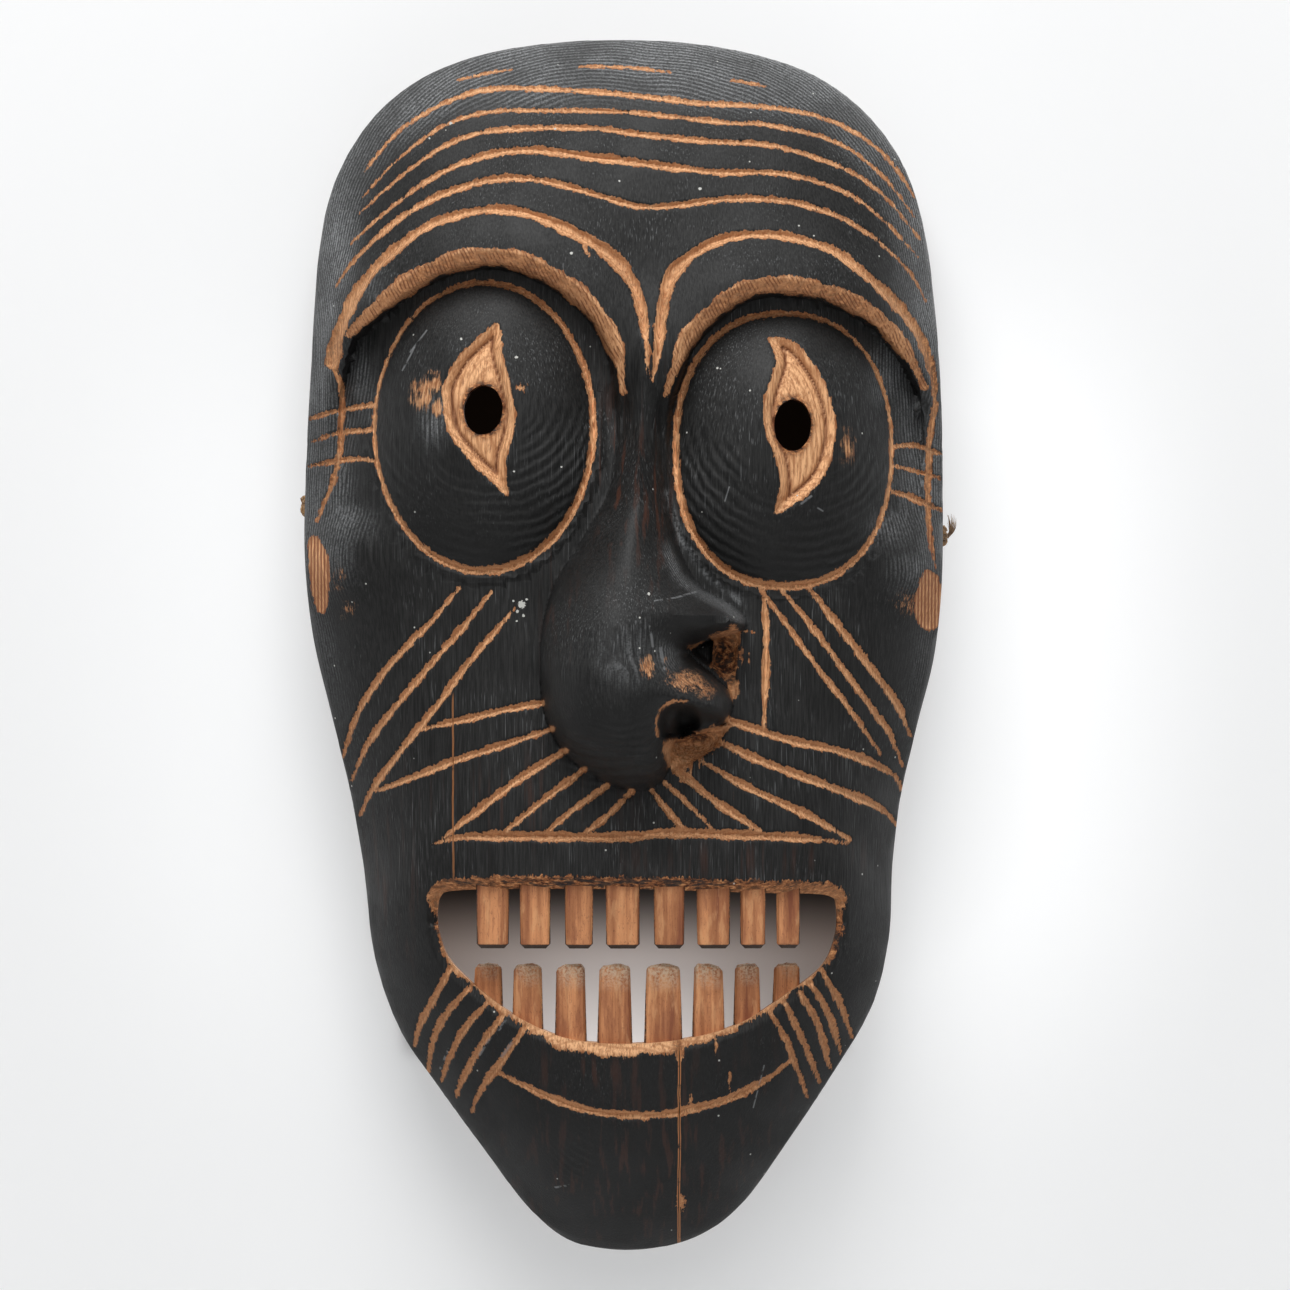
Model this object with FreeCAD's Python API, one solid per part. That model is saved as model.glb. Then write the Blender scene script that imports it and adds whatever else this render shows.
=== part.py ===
"""A carved wooden face mask: one hollowed shell, sixteen pegged teeth and a knotted head cord.

The face is laid out flat first: x to the right as someone facing it sees it, h up from the tip of
the chin, d out from the wall that the mask hangs on. The finished part stands upright: the face
looks along -Y, the back rim lies in the plane Y = 0, and the origin is the nail under the crown.
"""

import FreeCAD
import Part
import bisect
import math
import os

# Overall sizes, in millimetres.
MASK_HEIGHT = 400.0
MASK_WIDTH = 211.0
SIDE_DEPTH = 40.0  # straight side of the shell, from the back rim to where the face turns in
FACE_RISE = 42.0  # how far the middle of the face stands in front of that edge
SHELL_WALL = 16.0  # wood behind the plain face
RIM_WALL = 13.0  # width of the back rim

# Roll of the face towards its outline: higher numbers keep it flat for longer.
SIDE_ROLL = 3.4
CROWN_ROLL = 3.0  # added towards the crown and the chin

# Relief of the face. Reaches and widths of the eyes are shares of the ring round the eye.
BROW_HEIGHT = 8.0
BROW_SPREAD = 7.5
SOCKET_DEPTH = 7.0
SOCKET_REACH = 1.07
SOCKET_WIDTH = 0.17
SOCKET_TILT = 0.28  # how much shallower the socket gets below the eye
EYE_BULGE = 9.0
EYE_REACH = 0.72
NOSE_HEIGHT = 37.0
NOSE_FALL = 0.9
NOSE_FLATNESS = 3.4
CHEEKBONE_HEIGHT = 5.0
CHEEKBONE_REACH = 14.0
MUZZLE_HEIGHT = 3.0
MUZZLE_REACH = (55.0, 45.0)
NOSE_HOLLOW_DEPTH = 14.0  # extra depth of the hollow behind the nose
NOSE_HOLLOW_REACH = (20.0, 26.0)

# Openings.
LEAF_DEPTH = 3.0  # the leaf-shaped flat round each eye hole
EYE_HOLE_WIDTH = 12.4
EYE_HOLE_HEIGHT = 16.6
NOSTRIL_DEPTH = 12.0

# Teeth: square pegs driven into mortises in the edges of the lips.
BITE_HEIGHT = 98.2  # where the two rows face each other
BITE_GAP = 5.0
TOOTH_THICKNESS = 8.0
TOOTH_SETBACK = 3.0  # wood left in front of a tooth at the outer corners of its tenon
TOOTH_CHAMFER = 1.2
TENON_LENGTH = 8.0
TENON_CLEARANCE = 0.05

# Head cord, its holes and its knots.
CORD_DIAMETER = 2.8
CORD_HOLE = 4.6
CORD_DEPTH = 20.0  # from the back rim to the middle of the cord hole
LEFT_HOLE_HEIGHT = 246.0
RIGHT_HOLE_HEIGHT = 236.0
KNOT_DIAMETER = 7.6
KNOT_LENGTH = 6.8
KNOT_SEAT_DEPTH = 4.5
KNOT_SEAT_CLEARANCE = 1.0
TAIL_DIAMETER = 2.2
TAIL_BEND = 2.4
TAIL_LENGTH = 4.5
TAIL_LEAN = 70.0  # degrees between the knot and the loose end
CORD_CORNER = 0.45  # share of the shorter run that an arc takes up at each corner
KNOT_PROFILE = [(0, 0), (0, 0.68), (0.2, 0.94), (0.45, 1.0), (0.75, 0.82), (1.0, 0.42), (1.0, 0)]

# The wall nail under the crown.
NAIL_DIAMETER = 6.0

# The layout below is drawn on a face of this size and is scaled to the size above.
PATTERN_HEIGHT = 400.0
PATTERN_WIDTH = 211.0

OUTLINE = [
    (0, 400), (24, 398.6), (46, 394.4), (64, 387.6), (80, 375.6), (92, 359),
    (99, 338), (102.6, 312), (104.8, 280), (105.3, 250), (105, 222), (102.6, 197),
    (97, 174), (91.4, 150), (88.6, 126), (87.6, 104), (82, 81), (69, 58.6),
    (54, 36), (40, 16.6), (27, 6), (12, 1), (-4, 0.2), (-19, 3.8), (-32, 14.6),
    (-46, 33), (-62, 55), (-74.6, 74), (-82.6, 98), (-86, 126), (-90.6, 152),
    (-97, 178), (-103, 204), (-105.6, 232), (-105, 262), (-103.2, 296), (-100.8, 330),
    (-95.6, 353), (-84, 373), (-68, 386.6), (-48, 394.8), (-25, 398.8),
]
FACE_CENTRE = (0.0, 215.0)
CHEEKBONE_PLACE = (95.0, 227.0)
MUZZLE_PLACE = (3.0, 105.0)
NOSE_HOLLOW_PLACE = (4.0, 198.0)

LEFT_BROW = [
    (-93, 303), (-81, 318), (-66, 329), (-50, 335), (-34, 334), (-18, 325), (-5, 310), (3, 290),
]
RIGHT_BROW = [
    (12, 288), (17, 306), (28, 319), (42, 325), (58, 324), (74, 317), (88, 306), (98, 290),
]

# Each eye: middle, and half its width and height at the ring cut round it.
LEFT_EYE = (-46.0, 271.5, 36.0, 47.3)
RIGHT_EYE = (52.5, 264.0, 35.5, 44.7)
LEFT_LEAF = [
    (-41, 305.5), (-50, 299), (-57, 290.4), (-59.4, 281), (-57.3, 269.4), (-51, 260.7),
    (-43.6, 253.5), (-38, 249), (-38.6, 257), (-36, 268.7), (-35.3, 275), (-37.5, 287.4), (-39.8, 297),
]
RIGHT_LEAF = [
    (48, 300.5), (56, 299.2), (63, 290), (68, 279.4), (69, 268), (66, 257),
    (59, 248), (50, 243), (50.7, 254), (46.8, 268), (45.4, 276.5), (48.4, 288), (49, 295),
]
LEFT_EYE_HOLE = (-46.0, 276.8)
RIGHT_EYE_HOLE = (55.2, 271.9)

# The nose from its root down: height on the face, middle, half width, share of its full height.
NOSE_SECTIONS = [
    (305, 8, 8, 0.03), (285, 7.5, 8.5, 0.12), (262, 6, 9, 0.28), (240, 5, 13, 0.48), (222, 5, 23, 0.74),
    (206, 6, 32, 0.95), (192, 5, 32.5, 1.0), (178, 4, 30, 0.93), (167, 0, 20, 0.66), (156, 0, 12, 0.22),
    (146, 0, 10, 0.0),
]
NOSTRILS = [(27, 199, 7, 5.4), (20, 175.5, 15, 8)]  # middle, width and height of each opening

MOUTH = [
    (-60, 117), (-45, 120), (-15, 120.2), (15, 119.8), (45, 118.6), (68.5, 117.4),
    (69.6, 105), (65, 94.6), (54, 86), (38, 76), (20, 71), (0, 69.4),
    (-18, 71), (-33, 77), (-46, 86), (-57, 96.6), (-60.6, 107),
]
# Each tooth: middle and width, from the viewer's left to right.
UPPER_TEETH = [
    (-42.9, 10.8), (-29.1, 10.2), (-14.7, 9.4), (-0.4, 11.3),
    (14.8, 10.2), (29.2, 11.1), (42.2, 8.4), (53.7, 7.8),
]
LOWER_TEETH = [
    (-44.7, 9.4), (-31.6, 9.8), (-17.4, 10), (-3, 11),
    (12.9, 12), (27.7, 10.2), (40.4, 8.6), (53.3, 8.9),
]
LOWER_TOOTH_SPREAD = 0.9  # how much wider a lower tooth is at the lip than at its tip

# The slack cord inside the hollow, between its two seats: x, h and d.
CORD_ROUTE = [
    (-90.5, 246, 20), (-80.5, 240.4, 20.4), (-69.5, 227, 21.2), (-51, 210, 22.4),
    (-27, 195.5, 22), (2, 188, 20.6), (30, 190, 19), (55, 201, 18.4),
    (72, 214.5, 19), (81.5, 229, 19.8), (90, 235.7, 20),
]

GRID_STEP = 5.0
MARGIN = 20.0
TALL = 300.0  # longer than any cut
NEAR = 0.1

nail_height = MASK_HEIGHT - RIM_WALL - NAIL_DIAMETER / 2
pattern_x = MASK_WIDTH / PATTERN_WIDTH
pattern_h = MASK_HEIGHT / PATTERN_HEIGHT


def place(point):
    """A point of the layout on the mask at its real size."""
    return (point[0] * pattern_x, point[1] * pattern_h)


def polar(x, h):
    """Distance and direction of a point from the middle of the face."""
    centre = place(FACE_CENTRE)
    return math.hypot(x - centre[0], h - centre[1]), math.atan2(h - centre[1], x - centre[0])


outline_polar = sorted((polar(*place(point))[1], polar(*place(point))[0]) for point in OUTLINE)
outline_angles = [angle for angle, _ in outline_polar]
outline_radii = [radius for _, radius in outline_polar]


def smooth_between(before, start, end, after, share):
    """A smooth curve through four evenly weighted values, from start at 0 to end at 1."""
    rise_start = (end - before) / 2
    rise_end = (after - start) / 2
    gap = end - start
    return start + share * (rise_start + share * (3 * gap - 2 * rise_start - rise_end
                                                  + share * (rise_start + rise_end - 2 * gap)))


def outline_radius(angle):
    """Distance from the middle of the face to its outline in one direction."""
    count = len(outline_angles)
    after = bisect.bisect_right(outline_angles, angle) % count
    before = (after - 1) % count
    turn = (outline_angles[after] - outline_angles[before]) % (2 * math.pi)
    share = ((angle - outline_angles[before]) % (2 * math.pi)) / turn
    around = [outline_radii[(before + step) % count] for step in (-1, 0, 1, 2)]
    return smooth_between(*around, share)


def plain_face(x, h):
    """Depth of the face without its relief: nearly flat inside, rolling over at the outline."""
    distance, angle = polar(x, h)
    reach = distance / outline_radius(angle)
    roll = SIDE_ROLL + CROWN_ROLL * math.sin(angle) ** 2
    fall = reach**roll if reach < 1 else 1 + roll * (reach - 1)
    return SIDE_DEPTH + FACE_RISE * (1 - fall)


def bump(x, h, middle, reach_x, reach_h):
    """A soft round swelling, 1 at its middle."""
    cx, ch = place(middle)
    return math.exp(-((x - cx) / reach_x) ** 2 - ((h - ch) / reach_h) ** 2)


def distance_to_line(x, h, line):
    """Distance from a point to a line of straight pieces."""
    nearest = TALL
    for start, end in zip(line, line[1:]):
        ax, ah = place(start)
        bx, bh = place(end)
        along = ((x - ax) * (bx - ax) + (h - ah) * (bh - ah)) / ((bx - ax) ** 2 + (bh - ah) ** 2)
        along = min(max(along, 0.0), 1.0)
        nearest = min(nearest, math.hypot(x - ax - along * (bx - ax), h - ah - along * (bh - ah)))
    return nearest


def brow_relief(x, h):
    """Both brows: rounded ridges that sweep from the temples down to the root of the nose."""
    nearest = min(distance_to_line(x, h, LEFT_BROW), distance_to_line(x, h, RIGHT_BROW))
    return BROW_HEIGHT * math.exp(-((nearest / BROW_SPREAD) ** 2))


def eye_relief(x, h):
    """Both eyes: a dome inside the ring and a sunk band round it, deepest under the brow."""
    depth = 0.0
    for eye in (LEFT_EYE, RIGHT_EYE):
        cx, ch = place(eye[:2])
        across = (x - cx) / (eye[2] * pattern_x)
        up = (h - ch) / (eye[3] * pattern_h)
        reach = math.hypot(across, up)
        lift = 1 - SOCKET_TILT + SOCKET_TILT * up / max(reach, 0.01)
        depth += EYE_BULGE * math.exp(-((reach / EYE_REACH) ** 4))
        depth -= SOCKET_DEPTH * lift * math.exp(-(((reach - SOCKET_REACH) / SOCKET_WIDTH) ** 2))
    return depth


def nose_section(h):
    """Middle, half width and share of the full height of the nose at one height."""
    sections = NOSE_SECTIONS
    if h >= sections[0][0] * pattern_h or h <= sections[-1][0] * pattern_h:
        return 0.0, 1.0, 0.0
    index = next(i for i, row in enumerate(sections) if row[0] * pattern_h < h)
    rows = [sections[min(max(index + step, 0), len(sections) - 1)] for step in (-2, -1, 0, 1)]
    share = (rows[1][0] * pattern_h - h) / ((rows[1][0] - rows[2][0]) * pattern_h)
    middle, half, rise = (smooth_between(*(row[item] for row in rows), share) for item in (1, 2, 3))
    return middle * pattern_x, half * pattern_x, max(rise, 0.0)


def nose_relief(x, h):
    """The nose: a narrow root between the eyes that swells into a broad round tip."""
    middle, half, rise = nose_section(h)
    across = abs(x - middle) / half
    return NOSE_HEIGHT * rise * math.exp(-NOSE_FALL * across ** NOSE_FLATNESS)


def front_depth(x, h):
    """Depth of the carved face."""
    depth = plain_face(x, h) + brow_relief(x, h) + eye_relief(x, h) + nose_relief(x, h)
    for side in (-1, 1):
        cheekbone = (side * CHEEKBONE_PLACE[0], CHEEKBONE_PLACE[1])
        depth += CHEEKBONE_HEIGHT * bump(x, h, cheekbone, CHEEKBONE_REACH, CHEEKBONE_REACH)
    return depth + MUZZLE_HEIGHT * bump(x, h, MUZZLE_PLACE, *MUZZLE_REACH)


def back_depth(x, h):
    """Depth of the hollow inside: it follows the plain face, deeper behind the nose."""
    nose_hollow = NOSE_HOLLOW_DEPTH * bump(x, h, NOSE_HOLLOW_PLACE, *NOSE_HOLLOW_REACH)
    return plain_face(x, h) + nose_hollow - SHELL_WALL


def height_field(depth_at):
    """The solid behind a surface given as a depth over the layout."""
    left = min(x for x, _ in OUTLINE) * pattern_x - MARGIN
    low = -MARGIN
    columns = math.ceil((MASK_WIDTH + 2 * MARGIN) / GRID_STEP) + 1
    rows = math.ceil((MASK_HEIGHT + 2 * MARGIN) / GRID_STEP) + 1
    across = [left + step * GRID_STEP for step in range(columns)]
    up = [low + step * GRID_STEP for step in range(rows)]
    depths = [[depth_at(x, h) for h in up] for x in across]
    surface = Part.BSplineSurface()
    surface.interpolate(depths, left, GRID_STEP, low, GRID_STEP)
    return surface.toShape().extrude(FreeCAD.Vector(0, 0, -TALL))


def closed_prism(points, low, high):
    """A smooth closed outline, drawn out along the depth."""
    curve = Part.BSplineCurve()
    curve.interpolate(Points=[FreeCAD.Vector(x, h, low) for x, h in points], PeriodicFlag=True)
    return Part.Face(Part.Wire(curve.toShape())).extrude(FreeCAD.Vector(0, 0, high - low))


def inset(points, amount):
    """Closed outline points moved inwards along the outline's own normals."""
    moved = []
    for index, (x, h) in enumerate(points):
        before = points[index - 1]
        after = points[(index + 1) % len(points)]
        run = math.hypot(after[0] - before[0], after[1] - before[1])
        moved.append((x + amount * (after[1] - before[1]) / run, h - amount * (after[0] - before[0]) / run))
    return moved


def in_frame(shape):
    """A shape of the layout, stood upright in the part's own frame."""
    stood = shape.copy()
    stood.rotate(FreeCAD.Vector(0, 0, 0), FreeCAD.Vector(1, 0, 0), 90)
    stood.translate(FreeCAD.Vector(0, 0, -nail_height))
    return stood


def side_of_face(h, side):
    """Where the outline crosses one height, on the left (-1) or the right (1)."""
    points = [place(point) for point in OUTLINE]
    for (x_start, h_start), (x_end, h_end) in zip(points, points[1:] + points[:1]):
        crosses = min(h_start, h_end) <= h < max(h_start, h_end)
        if crosses and side * (x_start + x_end) > 0:
            return x_start + (x_end - x_start) * (h - h_start) / (h_end - h_start)
    return side * MASK_WIDTH / 2


def lip_height(x, side):
    """Height of the mouth's edge at x: the upper lip (1) or the lower lip (-1)."""
    points = [place(point) for point in MOUTH]
    heights = []
    for (x_start, h_start), (x_end, h_end) in zip(points, points[1:] + points[:1]):
        if min(x_start, x_end) <= x < max(x_start, x_end):
            heights.append(h_start + (h_end - h_start) * (x - x_start) / (x_end - x_start))
    return max(heights) if side > 0 else min(heights)


def shell_blank():
    """The outer form of the mask with the hollow behind the face taken out."""
    outline = [place(point) for point in OUTLINE]
    outside = closed_prism(outline, 0, TALL).common(height_field(front_depth))
    hollow = closed_prism(inset(outline, RIM_WALL), -1, TALL).common(height_field(back_depth))
    return outside.cut(hollow)


def eye_cuts(face_block):
    """For each eye: a leaf-shaped flat sunk below the dome, and the hole to see through."""
    under = face_block.copy()
    under.translate(FreeCAD.Vector(0, 0, -LEAF_DEPTH))
    cuts = []
    for leaf, hole in ((LEFT_LEAF, LEFT_EYE_HOLE), (RIGHT_LEAF, RIGHT_EYE_HOLE)):
        cuts.append(closed_prism([place(point) for point in leaf], SIDE_DEPTH, TALL).cut(under))
        cuts.append(oval_prism(place(hole), EYE_HOLE_WIDTH, EYE_HOLE_HEIGHT, -1, TALL))
    return cuts


def oval_prism(middle, width, height, low, high):
    """An upright or lying oval drawn out along the depth."""
    long_axis = FreeCAD.Vector(1, 0, 0) if width > height else FreeCAD.Vector(0, 1, 0)
    oval = Part.Ellipse(FreeCAD.Vector(0, 0, 0), max(width, height) / 2, min(width, height) / 2)
    edge = oval.toShape()
    if long_axis.y:
        edge.rotate(FreeCAD.Vector(0, 0, 0), FreeCAD.Vector(0, 0, 1), 90)
    edge.translate(FreeCAD.Vector(middle[0], middle[1], low))
    return Part.Face(Part.Wire(edge)).extrude(FreeCAD.Vector(0, 0, high - low))


def nostril_cuts():
    """Two blind nostrils sunk into the tip of the nose."""
    cuts = []
    for x, h, width, height in NOSTRILS:
        middle = place((x, h))
        floor = front_depth(*middle) - NOSTRIL_DEPTH
        cuts.append(oval_prism(middle, width, height, floor, TALL))
    return cuts


def tooth_place(tooth, side):
    """Middle, half width, height of the lip's edge and depth of the back of one tooth."""
    middle = tooth[0] * pattern_x
    half = tooth[1] / 2
    lip = lip_height(middle, side)
    face = min(front_depth(middle + way * half, lip + side * TENON_LENGTH) for way in (-1, 1))
    return middle, half, lip, face - TOOTH_SETBACK - TOOTH_THICKNESS


def tooth_tip(side):
    """Height of the free ends of one row of teeth."""
    return BITE_HEIGHT * pattern_h + side * BITE_GAP / 2


def tooth_root(tooth, side):
    """Height of the lip where the whole width of the tooth is inside the wood."""
    middle, half, lip, _ = tooth_place(tooth, side)
    edges = [lip_height(middle + way * half, side) for way in (-1, 1)]
    return max(edges + [lip]) if side > 0 else min(edges + [lip])


def upper_tooth(tooth):
    """A straight peg, its free end chamfered all round, its tenon up in the lip."""
    middle, half, _, back = tooth_place(tooth, 1)
    low = tooth_tip(1)
    high = tooth_root(tooth, 1) + TENON_LENGTH
    peg = Part.makeBox(2 * half, high - low, TOOTH_THICKNESS, FreeCAD.Vector(middle - half, low, back))
    at_tip = [edge for edge in peg.Edges if edge.BoundBox.YMin < low + NEAR]
    free = [edge for edge in at_tip if edge.BoundBox.ZMax > back + NEAR]
    return peg.makeChamfer(TOOTH_CHAMFER, free)


def lower_tooth(tooth):
    """A peg that spreads down to the lip, its long front edges chamfered, its tenon in the lip."""
    middle, half, lip, back = tooth_place(tooth, -1)
    tip = tooth_tip(-1)
    tip_half = half - LOWER_TOOTH_SPREAD / 2
    corners = [(middle - half, lip), (middle + half, lip)]
    corners += [(middle + tip_half, tip), (middle - tip_half, tip)]
    outline = Part.makePolygon([FreeCAD.Vector(x, h, back) for x, h in corners + corners[:1]])
    blade = Part.Face(outline).extrude(FreeCAD.Vector(0, 0, TOOTH_THICKNESS))
    front = back + TOOTH_THICKNESS
    upright = [edge for edge in blade.Edges if edge.BoundBox.YLength > TOOTH_CHAMFER]
    sides = [edge for edge in upright if edge.BoundBox.ZMin > front - NEAR]
    blade = blade.makeChamfer(TOOTH_CHAMFER, sides)
    low = tooth_root(tooth, -1) - TENON_LENGTH
    corner = FreeCAD.Vector(middle - half, low, back)
    tenon = Part.makeBox(2 * half, lip - low, TOOTH_THICKNESS - TOOTH_CHAMFER, corner)
    return blade.fuse(tenon).removeSplitter()


def mortise(tooth, side):
    """The pocket in the lip that one tooth is driven into; the tooth bottoms on its floor."""
    middle, half, lip, back = tooth_place(tooth, side)
    floor = tooth_root(tooth, side) + side * TENON_LENGTH
    low = min(floor, lip - side * TENON_LENGTH)
    height = abs(floor - lip) + TENON_LENGTH
    corner = FreeCAD.Vector(middle - half - TENON_CLEARANCE, low, back - TENON_CLEARANCE)
    return Part.makeBox(2 * (half + TENON_CLEARANCE), height, TOOTH_THICKNESS + 2 * TENON_CLEARANCE, corner)


def knot_seat(side):
    """x of the flat that a knot is drawn against, and the height of its cord hole."""
    height = (LEFT_HOLE_HEIGHT if side < 0 else RIGHT_HOLE_HEIGHT) * pattern_h
    return side_of_face(height, side) - side * KNOT_SEAT_DEPTH, height


def cord_hole_cuts():
    """A drilled hole through each side wall with a wider sunk seat for its knot."""
    cuts = []
    for side in (-1, 1):
        seat, height = knot_seat(side)
        outward = FreeCAD.Vector(side, 0, 0)
        inner = FreeCAD.Vector(seat - side * 2 * RIM_WALL, height, CORD_DEPTH)
        cuts.append(Part.makeCylinder(CORD_HOLE / 2, 3 * RIM_WALL, inner, outward))
        radius = KNOT_DIAMETER / 2 + KNOT_SEAT_CLEARANCE
        cuts.append(Part.makeCylinder(radius, TALL, FreeCAD.Vector(seat, height, CORD_DEPTH), outward))
    return cuts


def mask_shell():
    """The carved shell with every opening, mortise and cord hole."""
    cuts = eye_cuts(height_field(front_depth)) + nostril_cuts() + cord_hole_cuts()
    cuts.append(closed_prism([place(point) for point in MOUTH], -1, TALL))
    cuts += [mortise(tooth, 1) for tooth in UPPER_TEETH]
    cuts += [mortise(tooth, -1) for tooth in LOWER_TEETH]
    return shell_blank().cut(cuts)


def knot(side):
    """An overhand knot as a rounded lump: flat on its seat, with a small flat where the end leaves."""
    seat, height = knot_seat(side)
    points = [FreeCAD.Vector(x * KNOT_LENGTH, r * KNOT_DIAMETER / 2, 0) for x, r in KNOT_PROFILE]
    curve = Part.BSplineCurve()
    curve.interpolate(points[1:-1])
    edges = [Part.makeLine(points[0], points[1]), curve.toShape()]
    edges += [Part.makeLine(points[-2], points[-1]), Part.makeLine(points[-1], points[0])]
    half_section = Part.Face(Part.Wire(edges))
    lump = half_section.revolve(FreeCAD.Vector(0, 0, 0), FreeCAD.Vector(1, 0, 0), 360)
    if side < 0:
        lump.rotate(FreeCAD.Vector(0, 0, 0), FreeCAD.Vector(0, 0, 1), 180)
    lump.translate(FreeCAD.Vector(seat, height, CORD_DEPTH))
    return lump


def frayed_end():
    """The short loose end past the right knot: out of the knot, then up beside the mask."""
    seat, height = knot_seat(1)
    start = FreeCAD.Vector(seat + KNOT_LENGTH, height, CORD_DEPTH)
    lean = math.radians(TAIL_LEAN)
    middle, end = [
        start + FreeCAD.Vector(TAIL_BEND * math.sin(turn), TAIL_BEND * (1 - math.cos(turn)), 0)
        for turn in (lean / 2, lean)
    ]
    tip = end + FreeCAD.Vector(math.cos(lean), math.sin(lean), 0) * TAIL_LENGTH
    path = Part.Wire([Part.Arc(start, middle, end).toShape(), Part.makeLine(end, tip)])
    section = Part.Wire(Part.makeCircle(TAIL_DIAMETER / 2, start, FreeCAD.Vector(1, 0, 0)))
    return path.makePipeShell([section], True, True)


def cord_route():
    """The cord's points, from the flat under the left knot to the flat under the right one."""
    inside = [FreeCAD.Vector(*place((x, h)), depth) for x, h, depth in CORD_ROUTE]
    ends = [FreeCAD.Vector(*knot_seat(side), CORD_DEPTH) for side in (-1, 1)]
    return [ends[0]] + inside + [ends[1]]


def cord_tube():
    """The cord: straight runs joined by arcs as large as the runs allow."""
    route = cord_route()
    edges = []
    radii = []
    last = route[0]
    for before, corner, after in zip(route, route[1:], route[2:]):
        back = (before - corner).normalize()
        ahead = (after - corner).normalize()
        half_turn = (math.pi - back.getAngle(ahead)) / 2
        reach = CORD_CORNER * min((before - corner).Length, (after - corner).Length)
        radius = reach / math.tan(half_turn)
        start = corner + back * reach
        end = corner + ahead * reach
        inward = (back + ahead).normalize()
        middle = corner + inward * (radius / math.cos(half_turn) - radius)
        edges += [Part.makeLine(last, start), Part.Arc(start, middle, end).toShape()]
        radii.append(round(radius, 1))
        last = end
    edges.append(Part.makeLine(last, route[-1]))
    path = Part.Wire(edges)
    section = Part.Wire(Part.makeCircle(CORD_DIAMETER / 2, route[0], route[1] - route[0]))
    tube = path.makePipeShell([section], True, True)
    print("cord length", round(path.Length, 1), "radii", radii)
    print("cord volume", round(tube.Volume, 1), "section x length",
          round(math.pi * (CORD_DIAMETER / 2) ** 2 * path.Length, 1))
    return tube


def write(name, shape):
    """One STEP file for one node."""
    shape.exportStep(os.path.join("parts", name + ".step"))
    print(name, "valid" if shape.isValid() else "INVALID", len(shape.Solids), "solid", round(shape.Volume))


os.makedirs("parts", exist_ok=True)
write("mask_shell", in_frame(mask_shell()))
for number, tooth in enumerate(UPPER_TEETH, 1):
    write(f"upper_tooth_{number}", in_frame(upper_tooth(tooth)))
for number, tooth in enumerate(LOWER_TEETH, 1):
    write(f"lower_tooth_{number}", in_frame(lower_tooth(tooth)))
write("head_cord", in_frame(cord_tube()))
write("left_cord_knot", in_frame(knot(-1)))
write("right_cord_knot", in_frame(knot(1)))
write("frayed_cord_end", in_frame(frayed_end()))
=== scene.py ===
"""The looks of a carved wooden face mask: shell, pegged teeth and knotted head cord.

The face is laid out in millimetres: x to the right as someone facing it sees it, h up from the tip
of the chin, d out from the wall behind the rim. to_row() turns that layout into the part's frame.
"""

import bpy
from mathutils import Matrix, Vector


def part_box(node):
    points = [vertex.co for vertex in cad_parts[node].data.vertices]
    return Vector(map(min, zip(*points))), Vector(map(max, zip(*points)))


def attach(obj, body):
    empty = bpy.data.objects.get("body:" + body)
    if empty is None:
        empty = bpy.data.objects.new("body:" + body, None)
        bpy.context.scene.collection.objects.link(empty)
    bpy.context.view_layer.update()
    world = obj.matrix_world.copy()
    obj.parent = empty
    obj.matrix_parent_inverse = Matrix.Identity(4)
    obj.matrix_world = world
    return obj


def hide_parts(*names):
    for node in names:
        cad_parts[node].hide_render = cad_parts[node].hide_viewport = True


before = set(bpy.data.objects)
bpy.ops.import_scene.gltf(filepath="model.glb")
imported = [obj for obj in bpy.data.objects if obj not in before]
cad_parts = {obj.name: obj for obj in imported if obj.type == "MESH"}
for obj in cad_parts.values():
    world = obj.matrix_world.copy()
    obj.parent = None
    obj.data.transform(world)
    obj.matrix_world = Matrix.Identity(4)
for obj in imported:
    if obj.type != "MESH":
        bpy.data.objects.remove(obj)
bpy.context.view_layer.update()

import math

import bmesh
import bpy
import numpy as np
from mathutils import Matrix, Vector

# ---------------------------------------------------------------------------------------------
# Camera: level with the middle of the face and square to it, far enough back on a long lens
# that the nose looks hardly nearer than the rim.
MM = 0.001
VIEW_DISTANCE = 4.0
VIEW_WIDTH = 0.4257
SENSOR_WIDTH = 36.0
FACE_PLANE = 0.045  # how far the widest part of the shell stands out from the wall
VIEW_ASIDE = 0.0069

shell_low, shell_high = (Vector(corner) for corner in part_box("mask_shell"))
middle_height = (shell_low.z + shell_high.z) / 2


def linked(name, data):
    """A new object in the scene."""
    item = bpy.data.objects.new(name, data)
    bpy.context.collection.objects.link(item)
    return item


camera_data = bpy.data.cameras.new("front_camera")
camera_data.sensor_width = SENSOR_WIDTH
camera_data.lens = SENSOR_WIDTH * VIEW_DISTANCE / VIEW_WIDTH
camera_data.clip_end = 20.0
camera = linked("front_camera", camera_data)
camera.location = (VIEW_ASIDE, -VIEW_DISTANCE - FACE_PLANE, middle_height)
camera.rotation_euler = (math.pi / 2, 0, 0)
bpy.context.scene.camera = camera


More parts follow.
